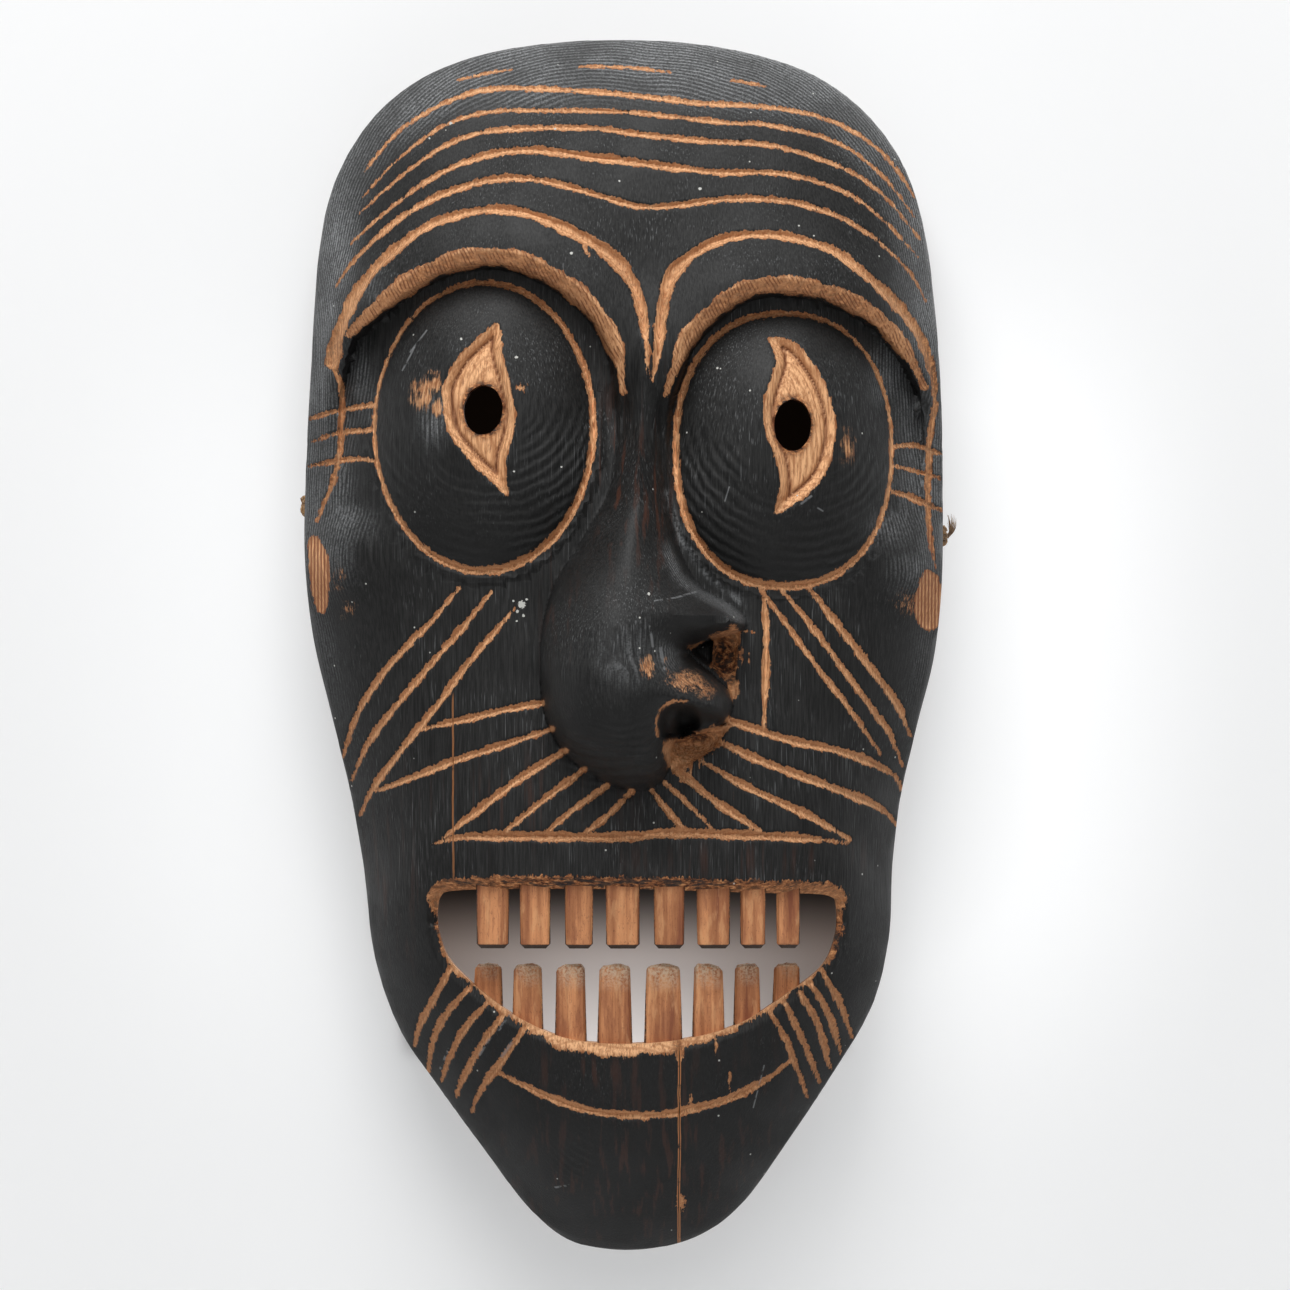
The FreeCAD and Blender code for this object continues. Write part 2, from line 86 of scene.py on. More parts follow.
# ---------------------------------------------------------------------------------------------
# Head cord: slack three-strand plant-fibre twine that runs through a drilled hole in each side
# wall and is stopped outside by a knot. It hangs in a shallow loop inside the hollow.
CORD_DIAMETER = 0.0028
CORD_LAY = 0.0085  # length along the cord in which a strand goes once round
STRANDS = 3
STRAND_SIDES = 3
STRAND_SWELL = 1.12  # strands bulge into each other by this much
BUMP_DISTANCE = 0.0003
FIBRE_DARK = (0.16, 0.075, 0.028, 1)
FIBRE_LIGHT = (0.56, 0.34, 0.15, 1)
FIBRE_DIRT = (0.13, 0.075, 0.04, 1)
CORD_ROUTE = [
    (-0.10082, -0.0200, -0.1380), (-0.0905, -0.0200, -0.1380), (-0.0805, -0.0204, -0.1436),
    (-0.0695, -0.0212, -0.1570), (-0.0510, -0.0224, -0.1740), (-0.0270, -0.0220, -0.1885),
    (0.0020, -0.0206, -0.1960), (0.0300, -0.0190, -0.1940), (0.0550, -0.0184, -0.1830),
    (0.0720, -0.0190, -0.1695), (0.0815, -0.0198, -0.1550), (0.0900, -0.0200, -0.1483),
    (0.10065, -0.0200, -0.1480),
]


def nodes_of(name):
    """A new material with an empty tree, its shader and a short way to add a node."""
    material = bpy.data.materials.new(name)
    material.use_nodes = True
    tree = material.node_tree
    tree.nodes.clear()
    output = tree.nodes.new("ShaderNodeOutputMaterial")
    shader = tree.nodes.new("ShaderNodeBsdfPrincipled")
    tree.links.new(shader.outputs[0], output.inputs["Surface"])

    def add(kind, inputs=(), **settings):
        node = tree.nodes.new("ShaderNode" + kind)
        for key, value in settings.items():
            setattr(node, key, value)
        for socket, value in dict(inputs).items():
            if isinstance(value, bpy.types.NodeSocket):
                tree.links.new(value, node.inputs[socket])
            else:
                node.inputs[socket].default_value = value
        return node

    def join(source, socket):
        tree.links.new(source, shader.inputs[socket])

    return material, shader, add, join


def maths(add, operation, first, second=0.0, third=0.0):
    """One arithmetic node; returns its result."""
    return add("Math", {0: first, 1: second, 2: third}, operation=operation).outputs[0]


def times(add, first, second):
    """The product of two values."""
    return maths(add, "MULTIPLY", first, second)


def times_plus(add, first, second, third):
    """The product of two values, and a third added to it."""
    return maths(add, "MULTIPLY_ADD", first, second, third)


def blend(add, factor, first, second):
    """Mix two colours; returns the result."""
    node = add("Mix", data_type="RGBA")
    tree = node.id_data
    for socket, value in ((0, factor), (6, first), (7, second)):
        if isinstance(value, bpy.types.NodeSocket):
            tree.links.new(value, node.inputs[socket])
        else:
            node.inputs[socket].default_value = value
    return node.outputs[2]


def stain(add, share, strength, colour, other):
    """A colour with a share of another laid over it."""
    return blend(add, times(add, share, strength), colour, other)


def ramp(add, value, low, high, low_out=0.0, high_out=1.0):
    """A smooth step of one value between two limits; returns the result."""
    node = add("MapRange", {0: value, 1: low, 2: high, 3: low_out, 4: high_out})
    node.interpolation_type = "SMOOTHSTEP"
    return node.outputs[0]


def noise(add, place, scale, detail=4.0, rough=0.55):
    """A grey noise on the given place; returns its value, about 0.5 on average."""
    node = add("TexNoise", {"Vector": place, "Scale": scale, "Detail": detail, "Roughness": rough})
    return node.outputs["Fac"]


def object_place(add):
    """Object coordinates."""
    return add("TexCoord").outputs["Object"]


def stretched(add, size):
    """Object coordinates scaled differently along each axis."""
    return add("Mapping", {"Vector": object_place(add), "Scale": size}).outputs["Vector"]


def layer(add, name):
    """A mesh's own number of that name."""
    return add("Attribute", attribute_name=name).outputs["Fac"]


def rough_bump(add, join, strength, height):
    """Small relief from a height value, joined to the shader."""
    bump = add("Bump", {"Strength": strength, "Distance": BUMP_DISTANCE, "Height": height})
    join(bump.outputs[0], "Normal")


def twine_material():
    """Dull golden-brown fibre: fine light and dark hairs, rough all over."""
    material, shader, add, join = nodes_of("twisted_twine")
    hairs = noise(add, stretched(add, (1.0, 1.0, 0.35)), 2600.0, 5.0, 0.7)
    dirt = noise(add, object_place(add), 260.0)
    colour = blend(add, ramp(add, hairs, 0.35, 0.68), FIBRE_DARK, FIBRE_LIGHT)
    colour = blend(add, ramp(add, dirt, 0.45, 0.75), colour, FIBRE_DIRT)
    join(colour, "Base Color")
    shader.inputs["Roughness"].default_value = 0.85
    shader.inputs["Sheen Weight"].default_value = 0.25
    rough_bump(add, join, 0.6, hairs)
    return material


def route_line(points):
    """Closely spaced points on the smooth curve that a route's points draw."""
    data = bpy.data.curves.new("route", "CURVE")
    data.dimensions = "3D"
    data.resolution_u = 16
    spline = data.splines.new("NURBS")
    spline.points.add(len(points) - 1)
    for item, point in zip(spline.points, points):
        item.co = (*point, 1.0)
    spline.order_u = 3
    spline.use_endpoint_u = True
    holder = bpy.data.objects.new("route", data)
    mesh = bpy.data.meshes.new_from_object(holder)
    line = np.array([vertex.co[:] for vertex in mesh.vertices])
    bpy.data.objects.remove(holder)
    bpy.data.curves.remove(data)
    bpy.data.meshes.remove(mesh)
    return line


def resample(line, step):
    """The same line with evenly spaced points."""
    lengths = np.concatenate([[0], np.cumsum(np.linalg.norm(np.diff(line, axis=0), axis=1))])
    count = max(int(lengths[-1] / step), 2)
    at = np.linspace(0, lengths[-1], count + 1)
    return np.stack([np.interp(at, lengths, line[:, axis]) for axis in range(3)], axis=1)


def strand_tubes(name, lines, radius, sides=STRAND_SIDES):
    """One mesh of closed round tubes along the given lines, each point with its own radius."""
    data = bpy.data.curves.new(name, "CURVE")
    data.dimensions = "3D"
    data.bevel_depth = 1.0
    data.bevel_resolution = sides
    data.use_fill_caps = True
    for line in lines:
        spline = data.splines.new("POLY")
        spline.points.add(len(line) - 1)
        taper = radius if callable(radius) else (lambda share: radius)
        for index, (item, point) in enumerate(zip(spline.points, line)):
            item.co = (*point, 1.0)
            item.radius = taper(index / (len(line) - 1))
    holder = bpy.data.objects.new(name, data)
    mesh = bpy.data.meshes.new_from_object(holder)
    bpy.data.objects.remove(holder)
    bpy.data.curves.remove(data)
    mesh.name = name
    for polygon in mesh.polygons:
        polygon.use_smooth = True
    return linked(name, mesh)


def twisted(line, diameter, lay, strands, phase=0.0):
    """Strand centrelines that wind round a line, and the radius of one strand."""
    strand_radius = diameter / 2 / (1 + 1 / math.sin(math.pi / strands))
    offset = diameter / 2 - strand_radius
    along = np.gradient(line, axis=0)
    along /= np.linalg.norm(along, axis=1)[:, None]
    up = np.array([0.0, 1.0, 0.0])
    side = np.cross(along, up)
    side /= np.linalg.norm(side, axis=1)[:, None]
    other = np.cross(side, along)
    run = np.concatenate([[0], np.cumsum(np.linalg.norm(np.diff(line, axis=0), axis=1))])
    lines = []
    for strand in range(strands):
        angle = 2 * math.pi * (run / lay + strand / strands) + phase
        lines.append(line + offset * (np.cos(angle)[:, None] * side + np.sin(angle)[:, None] * other))
    return lines, strand_radius


twine = twine_material()
cord_line = resample(route_line(CORD_ROUTE), 0.0007)
strand_lines, strand_radius = twisted(cord_line, CORD_DIAMETER, CORD_LAY, STRANDS)
head_cord = strand_tubes("head_cord_twine", strand_lines, strand_radius * STRAND_SWELL)
head_cord.data.materials.append(twine)
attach(head_cord, "root")
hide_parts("head_cord")


# Knots: the cord's own end tied in an overhand knot and pulled tight into a sunk seat outside
# each wall. The strands show as two crossing turns.
KNOT_SQUEEZE = 0.92


def overhand_knot(name, node, turn):
    """A tight overhand knot that fills the node's box."""
    low, high = (np.array(corner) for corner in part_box(node))
    at = np.linspace(0, 2 * math.pi, 73)[:-1] + turn
    around = [-np.sin(3 * at) * 1.1, np.sin(at) + 2 * np.sin(2 * at), np.cos(at) - 2 * np.cos(2 * at)]
    loop = np.stack(around, 1)
    most, least = loop.max(axis=0), loop.min(axis=0)
    thick = CORD_DIAMETER * KNOT_SQUEEZE
    loop = (loop - (most + least) / 2) / (most - least) * (high - low - thick) + (low + high) / 2
    loop = np.concatenate([loop, loop[:2]])
    lines, radius = twisted(resample(loop, 0.0004), thick, CORD_LAY * 0.8, STRANDS, turn)
    piece = strand_tubes(name, lines, radius * STRAND_SWELL)
    piece.data.materials.append(twine)
    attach(piece, "root")
    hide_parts(node)
    return piece


left_knot = overhand_knot("left_knot", "left_cord_knot", 0.4)
right_knot = overhand_knot("right_knot", "right_cord_knot", 1.3)

# Frayed end: past the right knot the twine has come apart into loose golden fibres that stand
# up beside the cheek.
FIBRES = 34
FIBRE_RADIUS = 0.00016
fray = np.random.default_rng(11)
fray_low, fray_high = (np.array(corner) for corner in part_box("frayed_cord_end"))
fray_root = np.array([fray_low[0], (fray_low[1] + fray_high[1]) / 2, fray_low[2] + 0.0011])
fibre_lines = []
for _ in range(FIBRES):
    reach = fray.uniform(0.55, 1.0)
    tip = fray_root + np.array([
        (fray_high[0] - fray_low[0]) * fray.uniform(-0.1, 0.62),
        fray.normal(0, 0.0016),
        (fray_high[2] - fray_root[2]) * reach * 1.25,
    ])
    bend = (fray_root + tip) / 2 + np.array([0.0013, fray.normal(0, 0.0006), -0.0010])
    start = fray_root + fray.normal(0, 0.0004, 3) * [0, 1, 1]
    share = np.linspace(0, 1, 9)[:, None]
    fibre_lines.append((1 - share) ** 2 * start + 2 * share * (1 - share) * bend + share**2 * tip)
frayed_end = strand_tubes("frayed_end", fibre_lines, lambda share: FIBRE_RADIUS * (1.15 - share), 1)
frayed_end.data.materials.append(twine)
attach(frayed_end, "root")
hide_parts("frayed_cord_end")


# ---------------------------------------------------------------------------------------------
# Mask shell: one block of slow-grown softwood, hollowed behind, blackened all over the outside and
# then cut with a V-gouge so that every line shows raw wood. The mouth, eye holes and nostrils are
# carved through the same block, and its lips are morticed for the teeth.
SIDE_DEPTH = 40.0
FACE_RISE = 42.0
SHELL_WALL = 16.0
RIM_WALL = 13.0
RIM_ROUND = 0.8
FACE_CENTRE = (0.0, 215.0)
FACE_HALF_SIZE = (105.0, 200.0)
FACE_SHARE = 0.84  # share of each sheet that is face; the rest is the side wall
SHEET_COLUMNS = 92
SHEET_ROWS = 172

OUTLINE = [
    (0, 400), (24, 398.6), (46, 394.4), (64, 387.6), (80, 375.6), (92, 359),
    (99, 338), (102.6, 312), (104.8, 280), (105.3, 250), (105, 222), (102.6, 197),
    (97, 174), (91.4, 150), (88.6, 126), (87.6, 104), (82, 81), (69, 58.6),
    (54, 36), (40, 16.6), (27, 6), (12, 1), (-4, 0.2), (-19, 3.8), (-32, 14.6),
    (-46, 33), (-62, 55), (-74.6, 74), (-82.6, 98), (-86, 126), (-90.6, 152),
    (-97, 178), (-103, 204), (-105.6, 232), (-105, 262), (-103.2, 296), (-100.8, 330),
    (-95.6, 353), (-84, 373), (-68, 386.6), (-48, 394.8), (-25, 398.8),
]

# Cut lines: width in the middle, share of it at each end, then the line itself.
FOREHEAD_CUTS = [
    (1.2, 0.6, 0.6, [(-55, 386.3), (-46, 388.3), (-37, 389.7)]),
    (1.3, 0.6, 0.6, [(-15, 390.6), (0, 390.3), (15.6, 388.6)]),
    (1.2, 0.6, 0.6, [(35, 386), (41, 385.2), (46.5, 384)]),
    ([0.7, 1.1, 1.5, 1.9, 1.9, 1.9, 2.0, 2.0, 1.7, 1.5, 1.4, 1.2, 0.6], 1, 1, [
        (-86, 355.5), (-74.5, 369), (-60, 378), (-46, 382.7), (-30, 383), (-10, 381.8), (10, 379.8),
        (24, 378), (46, 377), (64, 374), (76, 369), (87.5, 360), (96, 348)]),
    ([0.5, 0.8, 1.2, 1.4, 1.5, 1.6, 1.6, 1.6, 1.5, 1.4, 1.3, 1.1, 0.6], 1, 1, [
        (-86, 347.6), (-74.5, 359.5), (-60, 370.3), (-46, 375), (-30, 375.6), (0, 375), (17, 373.3),
        (35, 371.3), (46, 371), (64, 367.4), (76, 362), (87, 352.7), (96, 341)]),
    ([0.5, 0.8, 1.3, 1.7, 1.9, 2.0, 2.1, 2.1, 1.8, 1.6, 1.5, 1.2, 0.6], 1, 1, [
        (-87, 342), (-78, 350), (-66.6, 359), (-53.7, 366.3), (-38.6, 369.2), (-12, 369.6), (6, 367.4),
        (28, 365.2), (46, 364.3), (60, 361), (74.5, 355.5), (86, 347.6), (97.6, 334)]),
    ([0.6, 1.0, 1.5, 2.1, 2.5, 2.7, 2.9, 2.9, 2.6, 2.2, 1.9, 1.6, 1.4, 1.1, 0.6], 1, 1, [
        (-90, 332), (-79.6, 341), (-68, 350), (-56.5, 356.6), (-42, 361.3), (-28, 362.2), (-13.4, 360.2),
        (0, 358.6), (17, 356.4), (31, 354.8), (48.6, 354.8), (61.6, 352.5), (74, 348), (85, 340),
        (96.8, 328)]),
    ([0.7, 1.3, 2.0, 2.4, 2.5, 2.4, 2.2, 2.1, 2.1, 2.1, 2.1, 2.1, 2.1, 2.0, 1.7, 1.3, 1.0, 0.5], 1, 1, [
        (-95, 318), (-88, 327), (-76, 338), (-63.7, 345.8), (-51.5, 350.5), (-39, 353), (-24, 351.6),
        (-10, 347.6), (0, 344.7), (8, 343.3), (20, 344.2), (33.5, 346), (48, 346), (60, 344), (72, 339.7),
        (83, 333), (94, 322.8), (99.7, 313.5)]),
]
BROW_CUTS = [
    ([5.0, 4.6, 3.8, 3.4, 3.0, 2.9, 3.0, 3.3, 3.8, 4.4, 4.6, 4.0, 2.6, 0.6], 1, 1, [
        (-96, 293.3), (-94, 302), (-87.5, 316), (-78, 327), (-66.6, 335.7), (-55, 340.6), (-43.6, 342.4),
        (-32, 341.3), (-20.6, 336.8), (-9, 330.7), (-1, 324), (4, 315.6), (7, 302), (7.8, 288.5)]),
    ([0.8, 2.8, 3.9, 4.4, 3.8, 3.2, 3.0, 3.0, 3.2, 3.4, 3.8, 3.4, 3.2, 1.6], 1, 1, [
        (9.2, 286), (11, 295), (12.3, 307.7), (15.2, 320), (22.7, 327.8), (33.5, 333), (47, 334.3),
        (58.7, 332.5), (69.5, 328.6), (80, 320.6), (89.7, 311.7), (97, 302), (101.5, 290.4), (102.8, 279)]),
    (1.6, 0.6, 0.3, [(-13.5, 332.6), (-12.6, 329), (-11.4, 327)]),
]
LEFT_BROW_EDGE = [
    (-90.4, 302), (-85, 307), (-74, 316), (-62, 323), (-51, 326.4), (-39, 326.6), (-28, 323), (-16, 315.4),
    (-7, 305.5), (-1.6, 293), (-0.4, 283)]
RIGHT_BROW_EDGE = [
    (13.7, 282), (17, 291), (20.6, 300), (28.5, 308.4), (38.6, 315.6), (50, 317.8), (61.6, 316.7),
    (73, 313), (84, 306.3), (93, 296), (99, 285)]
BROW_CHAMFERS = [(6.2, 0.4, 0.34, LEFT_BROW_EDGE), (5.5, 0.36, 0.42, RIGHT_BROW_EDGE)]
CHAMFER_FALL = 2.6
TEMPLE_CUTS = [
    (2.0, 0.8, 0.5, [
        (-96, 292.4), (-93.2, 285), (-93, 275), (-93.6, 264), (-95.8, 254), (-98.6, 247.4), (-101.4, 241)]),
    (1.8, 0.7, 0.9, [(-103.4, 274.8), (-93.6, 277.3), (-82, 279)]),
    (1.7, 0.5, 0.9, [(-102.8, 267.2), (-94, 269.8), (-82.4, 270.8)]),
    (1.8, 0.7, 0.7, [(-104, 259), (-94, 260.7), (-87.5, 261.2), (-81, 260.2)]),
    (2.2, 0.9, 0.4, [
        (102.9, 279.4), (101, 270), (100.5, 258), (100.2, 245), (100.8, 237), (102.9, 224.7)]),
    (2.0, 0.6, 0.8, [(88.9, 265.2), (96, 265.8), (104.6, 263)]),
    (1.3, 0.8, 0.8, [(88.2, 259), (94, 257.8), (104.6, 255)]),
    (2.2, 0.6, 0.7, [(88.6, 250.3), (94, 248.8), (104.8, 244.5)]),
]
CHEEK_CUTS = [
    (2.3, 0.5, 0.4, [
        (-54, 218.6), (-62.4, 208.5), (-70, 201), (-80, 189.5), (-88, 177), (-92.8, 163)]),
    (2.3, 0.5, 0.4, [
        (-43.4, 217.3), (-52, 206.8), (-63, 194), (-74, 181), (-84, 168), (-89.8, 155.4)]),
    (2.4, 0.4, 0.5, [(-35.7, 212), (-51, 194), (-61, 180.4), (-72, 167), (-82.7, 152.7), (-87, 144)]),
    (2.5, 0.6, 0.4, [(45.8, 216), (46.5, 203), (46.4, 194), (45.9, 178.4), (45.8, 172.6)]),
    (1.9, 0.7, 0.4, [(44.4, 218.6), (53, 207), (63, 193.2), (74, 179), (84.4, 164)]),
    (2.1, 0.6, 0.4, [(51.6, 218), (61, 206.8), (71.8, 192.3), (82, 178.4), (87.4, 171), (92, 160)]),
    (2.7, 0.5, 0.4, [(60.6, 218.6), (70.5, 206), (80.7, 193), (90, 180.4), (94.4, 170)]),
]
WHISKER_CUTS = [
    (2.4, 0.9, 0.5, [(-26.8, 181), (-39.4, 178.7), (-49.5, 176.3), (-58.3, 174.3), (-66.4, 172.2)]),
    (2.4, 0.8, 0.5, [(-23.3, 172.6), (-37.4, 168), (-56.3, 161.8), (-66.5, 157.7), (-81.8, 151.8)]),
    (2.7, 0.9, 0.5, [(-19, 165.6), (-32.6, 157.3), (-46.2, 147.2), (-59, 137)]),
    (2.3, 0.9, 0.6, [(-13, 159.3), (-26, 149.5), (-39, 139)]),
    (2.1, 0.9, 0.7, [(-5.5, 154), (-16.4, 146.2), (-24.8, 139.2)]),
    (2.2, 0.9, 0.7, [(2.6, 152), (-6.2, 143.5), (-12, 139)]),
    (2.0, 0.9, 0.6, [(9, 152.6), (16.3, 143.5), (20.8, 139)]),
    (1.7, 0.9, 0.6, [(13.4, 155.2), (23.8, 145.2), (29, 139.6)]),
    (2.8, 0.9, 0.7, [(17, 159.4), (29, 149.6), (44.4, 139.4)]),
    (2.6, 0.5, 0.5, [(25.4, 162), (40.7, 153.3), (59.7, 144.5), (74.4, 136)]),
    (2.9, 0.7, 0.4, [(30.6, 168.6), (46, 161.7), (66.4, 154), (84, 146.5), (90.4, 140)]),
    (2.9, 0.9, 0.4, [(34.4, 175.4), (53, 169.2), (73.2, 164.5), (88, 157.7), (92, 152)]),
    (3.3, 0.3, 0.3, [
        (-62.4, 134.8), (-52, 137.2), (-29, 137.4), (0, 137.2), (14, 138.5), (39, 137.8), (59.7, 136.7),
        (73.4, 134.8)]),
]
SPLINTERS = [
    (0.9, 0.7, 0.7, [(11.2, 170), (10.6, 175), (12.2, 179.4), (16, 181.6), (21, 181.6)]),
    (0.7, 0.8, 0.2, [(37, 203.8), (40, 204.4), (43.4, 204)]),
    (0.8, 0.4, 0.3, [(38.8, 199.4), (38.6, 196), (38.9, 192)]),
    (0.7, 0.4, 0.3, [(40.8, 197.4), (40.6, 195), (40.9, 193.2)]),
    (0.9, 0.7, 0.3, [(18.4, 162), (18.2, 159), (18.5, 155.4)]),
    (0.8, 0.7, 0.3, [(21.6, 163), (21.8, 159), (21.5, 156)]),
    (0.7, 0.5, 0.3, [(24.6, 164.6), (24.5, 161), (24.8, 158.4)]),
    (0.9, 0.8, 0.2, [(22, 52.6), (21.8, 50), (22.1, 46.6)]),
    (0.9, 0.8, 0.2, [(34.6, 54.6), (34.4, 57), (34.8, 60.4)]),
    (0.9, 0.9, 0.2, [(30, 71.4), (30.2, 68), (29.8, 65.4)]),
]
CHIN_CUTS = [
    (2.4, 0.8, 0.5, [(-57, 94), (-62, 84.7), (-67.5, 74.4), (-69.2, 67.4)]),
    (2.3, 0.8, 0.5, [(-50.6, 87.6), (-58, 79.5), (-62.7, 70.4), (-64.8, 59)]),
    (2.3, 0.8, 0.5, [(-44.8, 82.8), (-52.4, 73.8), (-57.5, 64), (-60, 56.2)]),
    (2.4, 0.8, 0.5, [(-39.6, 78.8), (-47.3, 68), (-53.6, 56), (-55.2, 51.4)]),
    (2.4, 0.8, 0.5, [(-32.2, 75), (-39.8, 64), (-46.7, 54.4), (-50.2, 46)]),
    (2.0, 0.8, 0.5, [(48, 79.6), (53.2, 70), (58, 58), (60.4, 50.6)]),
    (2.2, 0.8, 0.5, [(52.6, 82.6), (58.5, 70.7), (64.4, 56)]),
    (2.5, 0.8, 0.5, [(57.6, 86), (63.8, 75.4), (67.9, 60.4)]),
    (2.4, 0.8, 0.5, [(61.2, 89), (67.4, 78.4), (71.5, 65.4)]),
    (2.2, 0.8, 0.5, [(64.8, 93.6), (71, 82), (75.2, 70.6)]),
    (2.7, 0.4, 0.5, [
        (-42.4, 60.4), (-35.3, 56.7), (-23.8, 51.5), (-12.4, 47.8), (0, 46), (11, 46), (22.4, 48),
        (34, 51), (46, 56.8), (55.6, 64)]),
]
CUT_LINES = FOREHEAD_CUTS + BROW_CUTS + TEMPLE_CUTS + CHEEK_CUTS + WHISKER_CUTS + SPLINTERS + CHIN_CUTS
CUT_SLOPE = 1.15  # depth of a V-cut for each millimetre in from its edge
CUT_DEEPEST = 1.9
EDGE_WANDER = 0.12  # how far a hand-pushed gouge wanders, as a share of the width

# Eyes: middle, half width, half height, how square the ring is, and the brow edge above it.
EYES = [
    (-46.0, 271.5, 36.0, 47.3, 2.0, LEFT_BROW_EDGE),
    (52.5, 264.0, 35.5, 44.7, 2.25, RIGHT_BROW_EDGE),
]
RING_WIDTH = 2.1
SOCKET_DEPTH = 8.0
EYE_BULGE = 9.0
BROW_ROLL = 6.0
LEAVES = [
    [(-41.4, 305.5), (-46, 302), (-53.7, 294.7), (-58.7, 286), (-59.4, 280), (-57.3, 269.4), (-51, 260.7),
     (-43.6, 253.5), (-38, 249), (-38.4, 256), (-38, 262), (-36, 268.7), (-35.3, 276), (-37.5, 287.4),
     (-39.6, 295), (-39.8, 302)],
    [(47.4, 300.6), (54.6, 299.8), (60.6, 294), (66, 285), (69.2, 274), (68.6, 264), (65, 254.6),
     (58, 247.4), (49.4, 242.8), (50.8, 251), (49.8, 260), (46, 270.4), (45.4, 278), (47.6, 286),
     (49.6, 292.4), (48.4, 297)],
]
LEAF_DEPTH = 3.2
LEAF_BEVEL = 3.3
EYE_HOLES = [(-46.0, 276.8, 6.4, 8.1), (55.2, 271.9, 6.0, 8.6)]

# Nose: its edge against the face, and its height and edge softness from the root down.
NOSE_EDGE = [
    (-2, 262), (-5, 250), (-10.5, 240), (-16, 230.5), (-22, 221), (-25.6, 210), (-27.2, 199), (-27, 186.5),
    (-25, 175), (-19.4, 165), (-13.6, 160), (-6, 155.4), (2, 152.8), (10, 154), (14.4, 159), (15.6, 166),
    (19, 170.6), (27, 172), (33.6, 175.4), (35.4, 180.4), (34, 185), (28.6, 190.4), (20.4, 197.4),
    (26, 200.8), (38, 204.4), (39.8, 208), (37, 211.8), (30.4, 215.4), (24, 220), (18.6, 230), (15.6, 241),
    (13.4, 254), (12.4, 268), (12.4, 284), (12.6, 300), (8, 306), (3, 300), (0.6, 284), (-0.4, 272),
]
NOSE_HEIGHT = 37.0
NOSE_PROFILE = [  # height up the face, share of the full height, width of the rounded edge, its shape
    (150, 0.72, 22, 0.5), (160, 0.84, 24, 0.5), (172, 0.95, 25, 0.5), (190, 1.0, 25, 0.5),
    (206, 0.95, 25, 0.55), (222, 0.76, 22, 0.7), (240, 0.5, 16, 0.95), (262, 0.3, 12, 1.2),
    (285, 0.14, 11, 1.3), (306, 0.05, 10, 1.3),
]
NOSTRIL_PITS = [  # depth, width of its soft edge, outline
    (7.0, 1.1, [(22.2, 198.4), (25.6, 200.8), (28.8, 202.4), (29.2, 197.6), (28.2, 193.4), (25, 195.6)]),
    (13.0, 2.6, [(11.2, 171.6), (11.2, 176.6), (13.4, 180.4), (18, 181.4), (22.4, 180), (25, 176.6),
                 (24.8, 173.4), (21.6, 170.4), (17, 168.8), (13.2, 169)]),
    (8.0, 3.0, [(18, 180), (24, 179.2), (31.4, 177), (33.4, 174.6), (29, 172.4), (22, 170.4), (16, 172)]),
]
RAW_PATCHES = [  # shaved raw wood beside and below the nostrils, and a chip at the chin crack
    [(28, 202.6), (35.6, 205.4), (38.2, 203.4), (37.2, 196), (37, 190), (37.8, 184), (35.4, 182), (33.4, 187),
     (30.8, 190.6), (28.2, 194), (28.8, 199)],
    [(12.4, 166.6), (14.6, 169.4), (19, 169.8), (24, 171.6), (29, 173), (32.6, 173.6), (35.6, 174), (32, 169),
     (28.6, 165), (23.6, 162), (19.6, 159.2), (15.6, 158.6), (13.8, 162)],
    [(20.6, 199.4), (27, 201.4), (33, 203.6), (35.4, 207), (37, 205.8), (36, 203), (30, 201.4), (24, 198.8)],
    [(16.6, 70), (19.2, 70), (18.8, 63.6), (17.2, 63.6)],
    [(18, 19.4), (20, 17.6), (19.2, 13.6), (17.8, 14)],
    [(-35.7, 284.6), (-31.7, 284.8), (-31.9, 283.2), (-35.5, 283.5)],
    [(-104.4, 233), (-101.6, 236), (-97.6, 230), (-96.8, 222), (-98, 212), (-100.6, 210.6), (-103, 218)],
    [(98.4, 223.8), (103.4, 223), (105.4, 214), (103.6, 206), (98.6, 205.4), (95.6, 212)],
]

MOUTH = [
    (-60, 117.6), (-57.4, 119.2), (-45, 120), (-15, 120.2), (15, 119.8), (45, 118.8), (62, 118.4),
    (68.2, 117.2), (69.6, 114.4), (69.4, 105), (65, 94.6), (54, 86), (38, 76), (20, 71), (0, 69.4),
    (-18, 71), (-33, 77), (-46, 86), (-57, 96.6), (-60.8, 107), (-61, 114.4),
]
LIP_BEVEL = 3.6
UPPER_LIP_FALL = 4.6
LOWER_LIP_FALL = 2.2

# Soft swellings and hollows: middle, reach across and up, and height.
CHEEKBONES = [((-95.0, 227.0), 14, 14, 6.5), ((95.0, 225.0), 14, 14, 6.5)]
MUZZLE = ((3, 105), 55, 45, 3.0)
NOSTRIL_SLOPES = [((28.5, 197), 7, 7, 7.0), ((21, 168.5), 9, 5, 6.0)]
NOSE_HOLLOW = ((4, 198), 20, 26, 14.0)
NOT_CUT = -6.0  # "well outside" in the cut amounts, which matter only near an edge
FAR_OUT = -9.0  # the same for the nose and the mouth
UPPER_LIP_ABOVE = 108


def to_row(x, h, d):
    """Points of the layout, in millimetres, as points of the part's frame."""
    return np.stack([np.asarray(x) * MM, -np.asarray(d) * MM, shell_low.z + np.asarray(h) * MM], axis=-1)


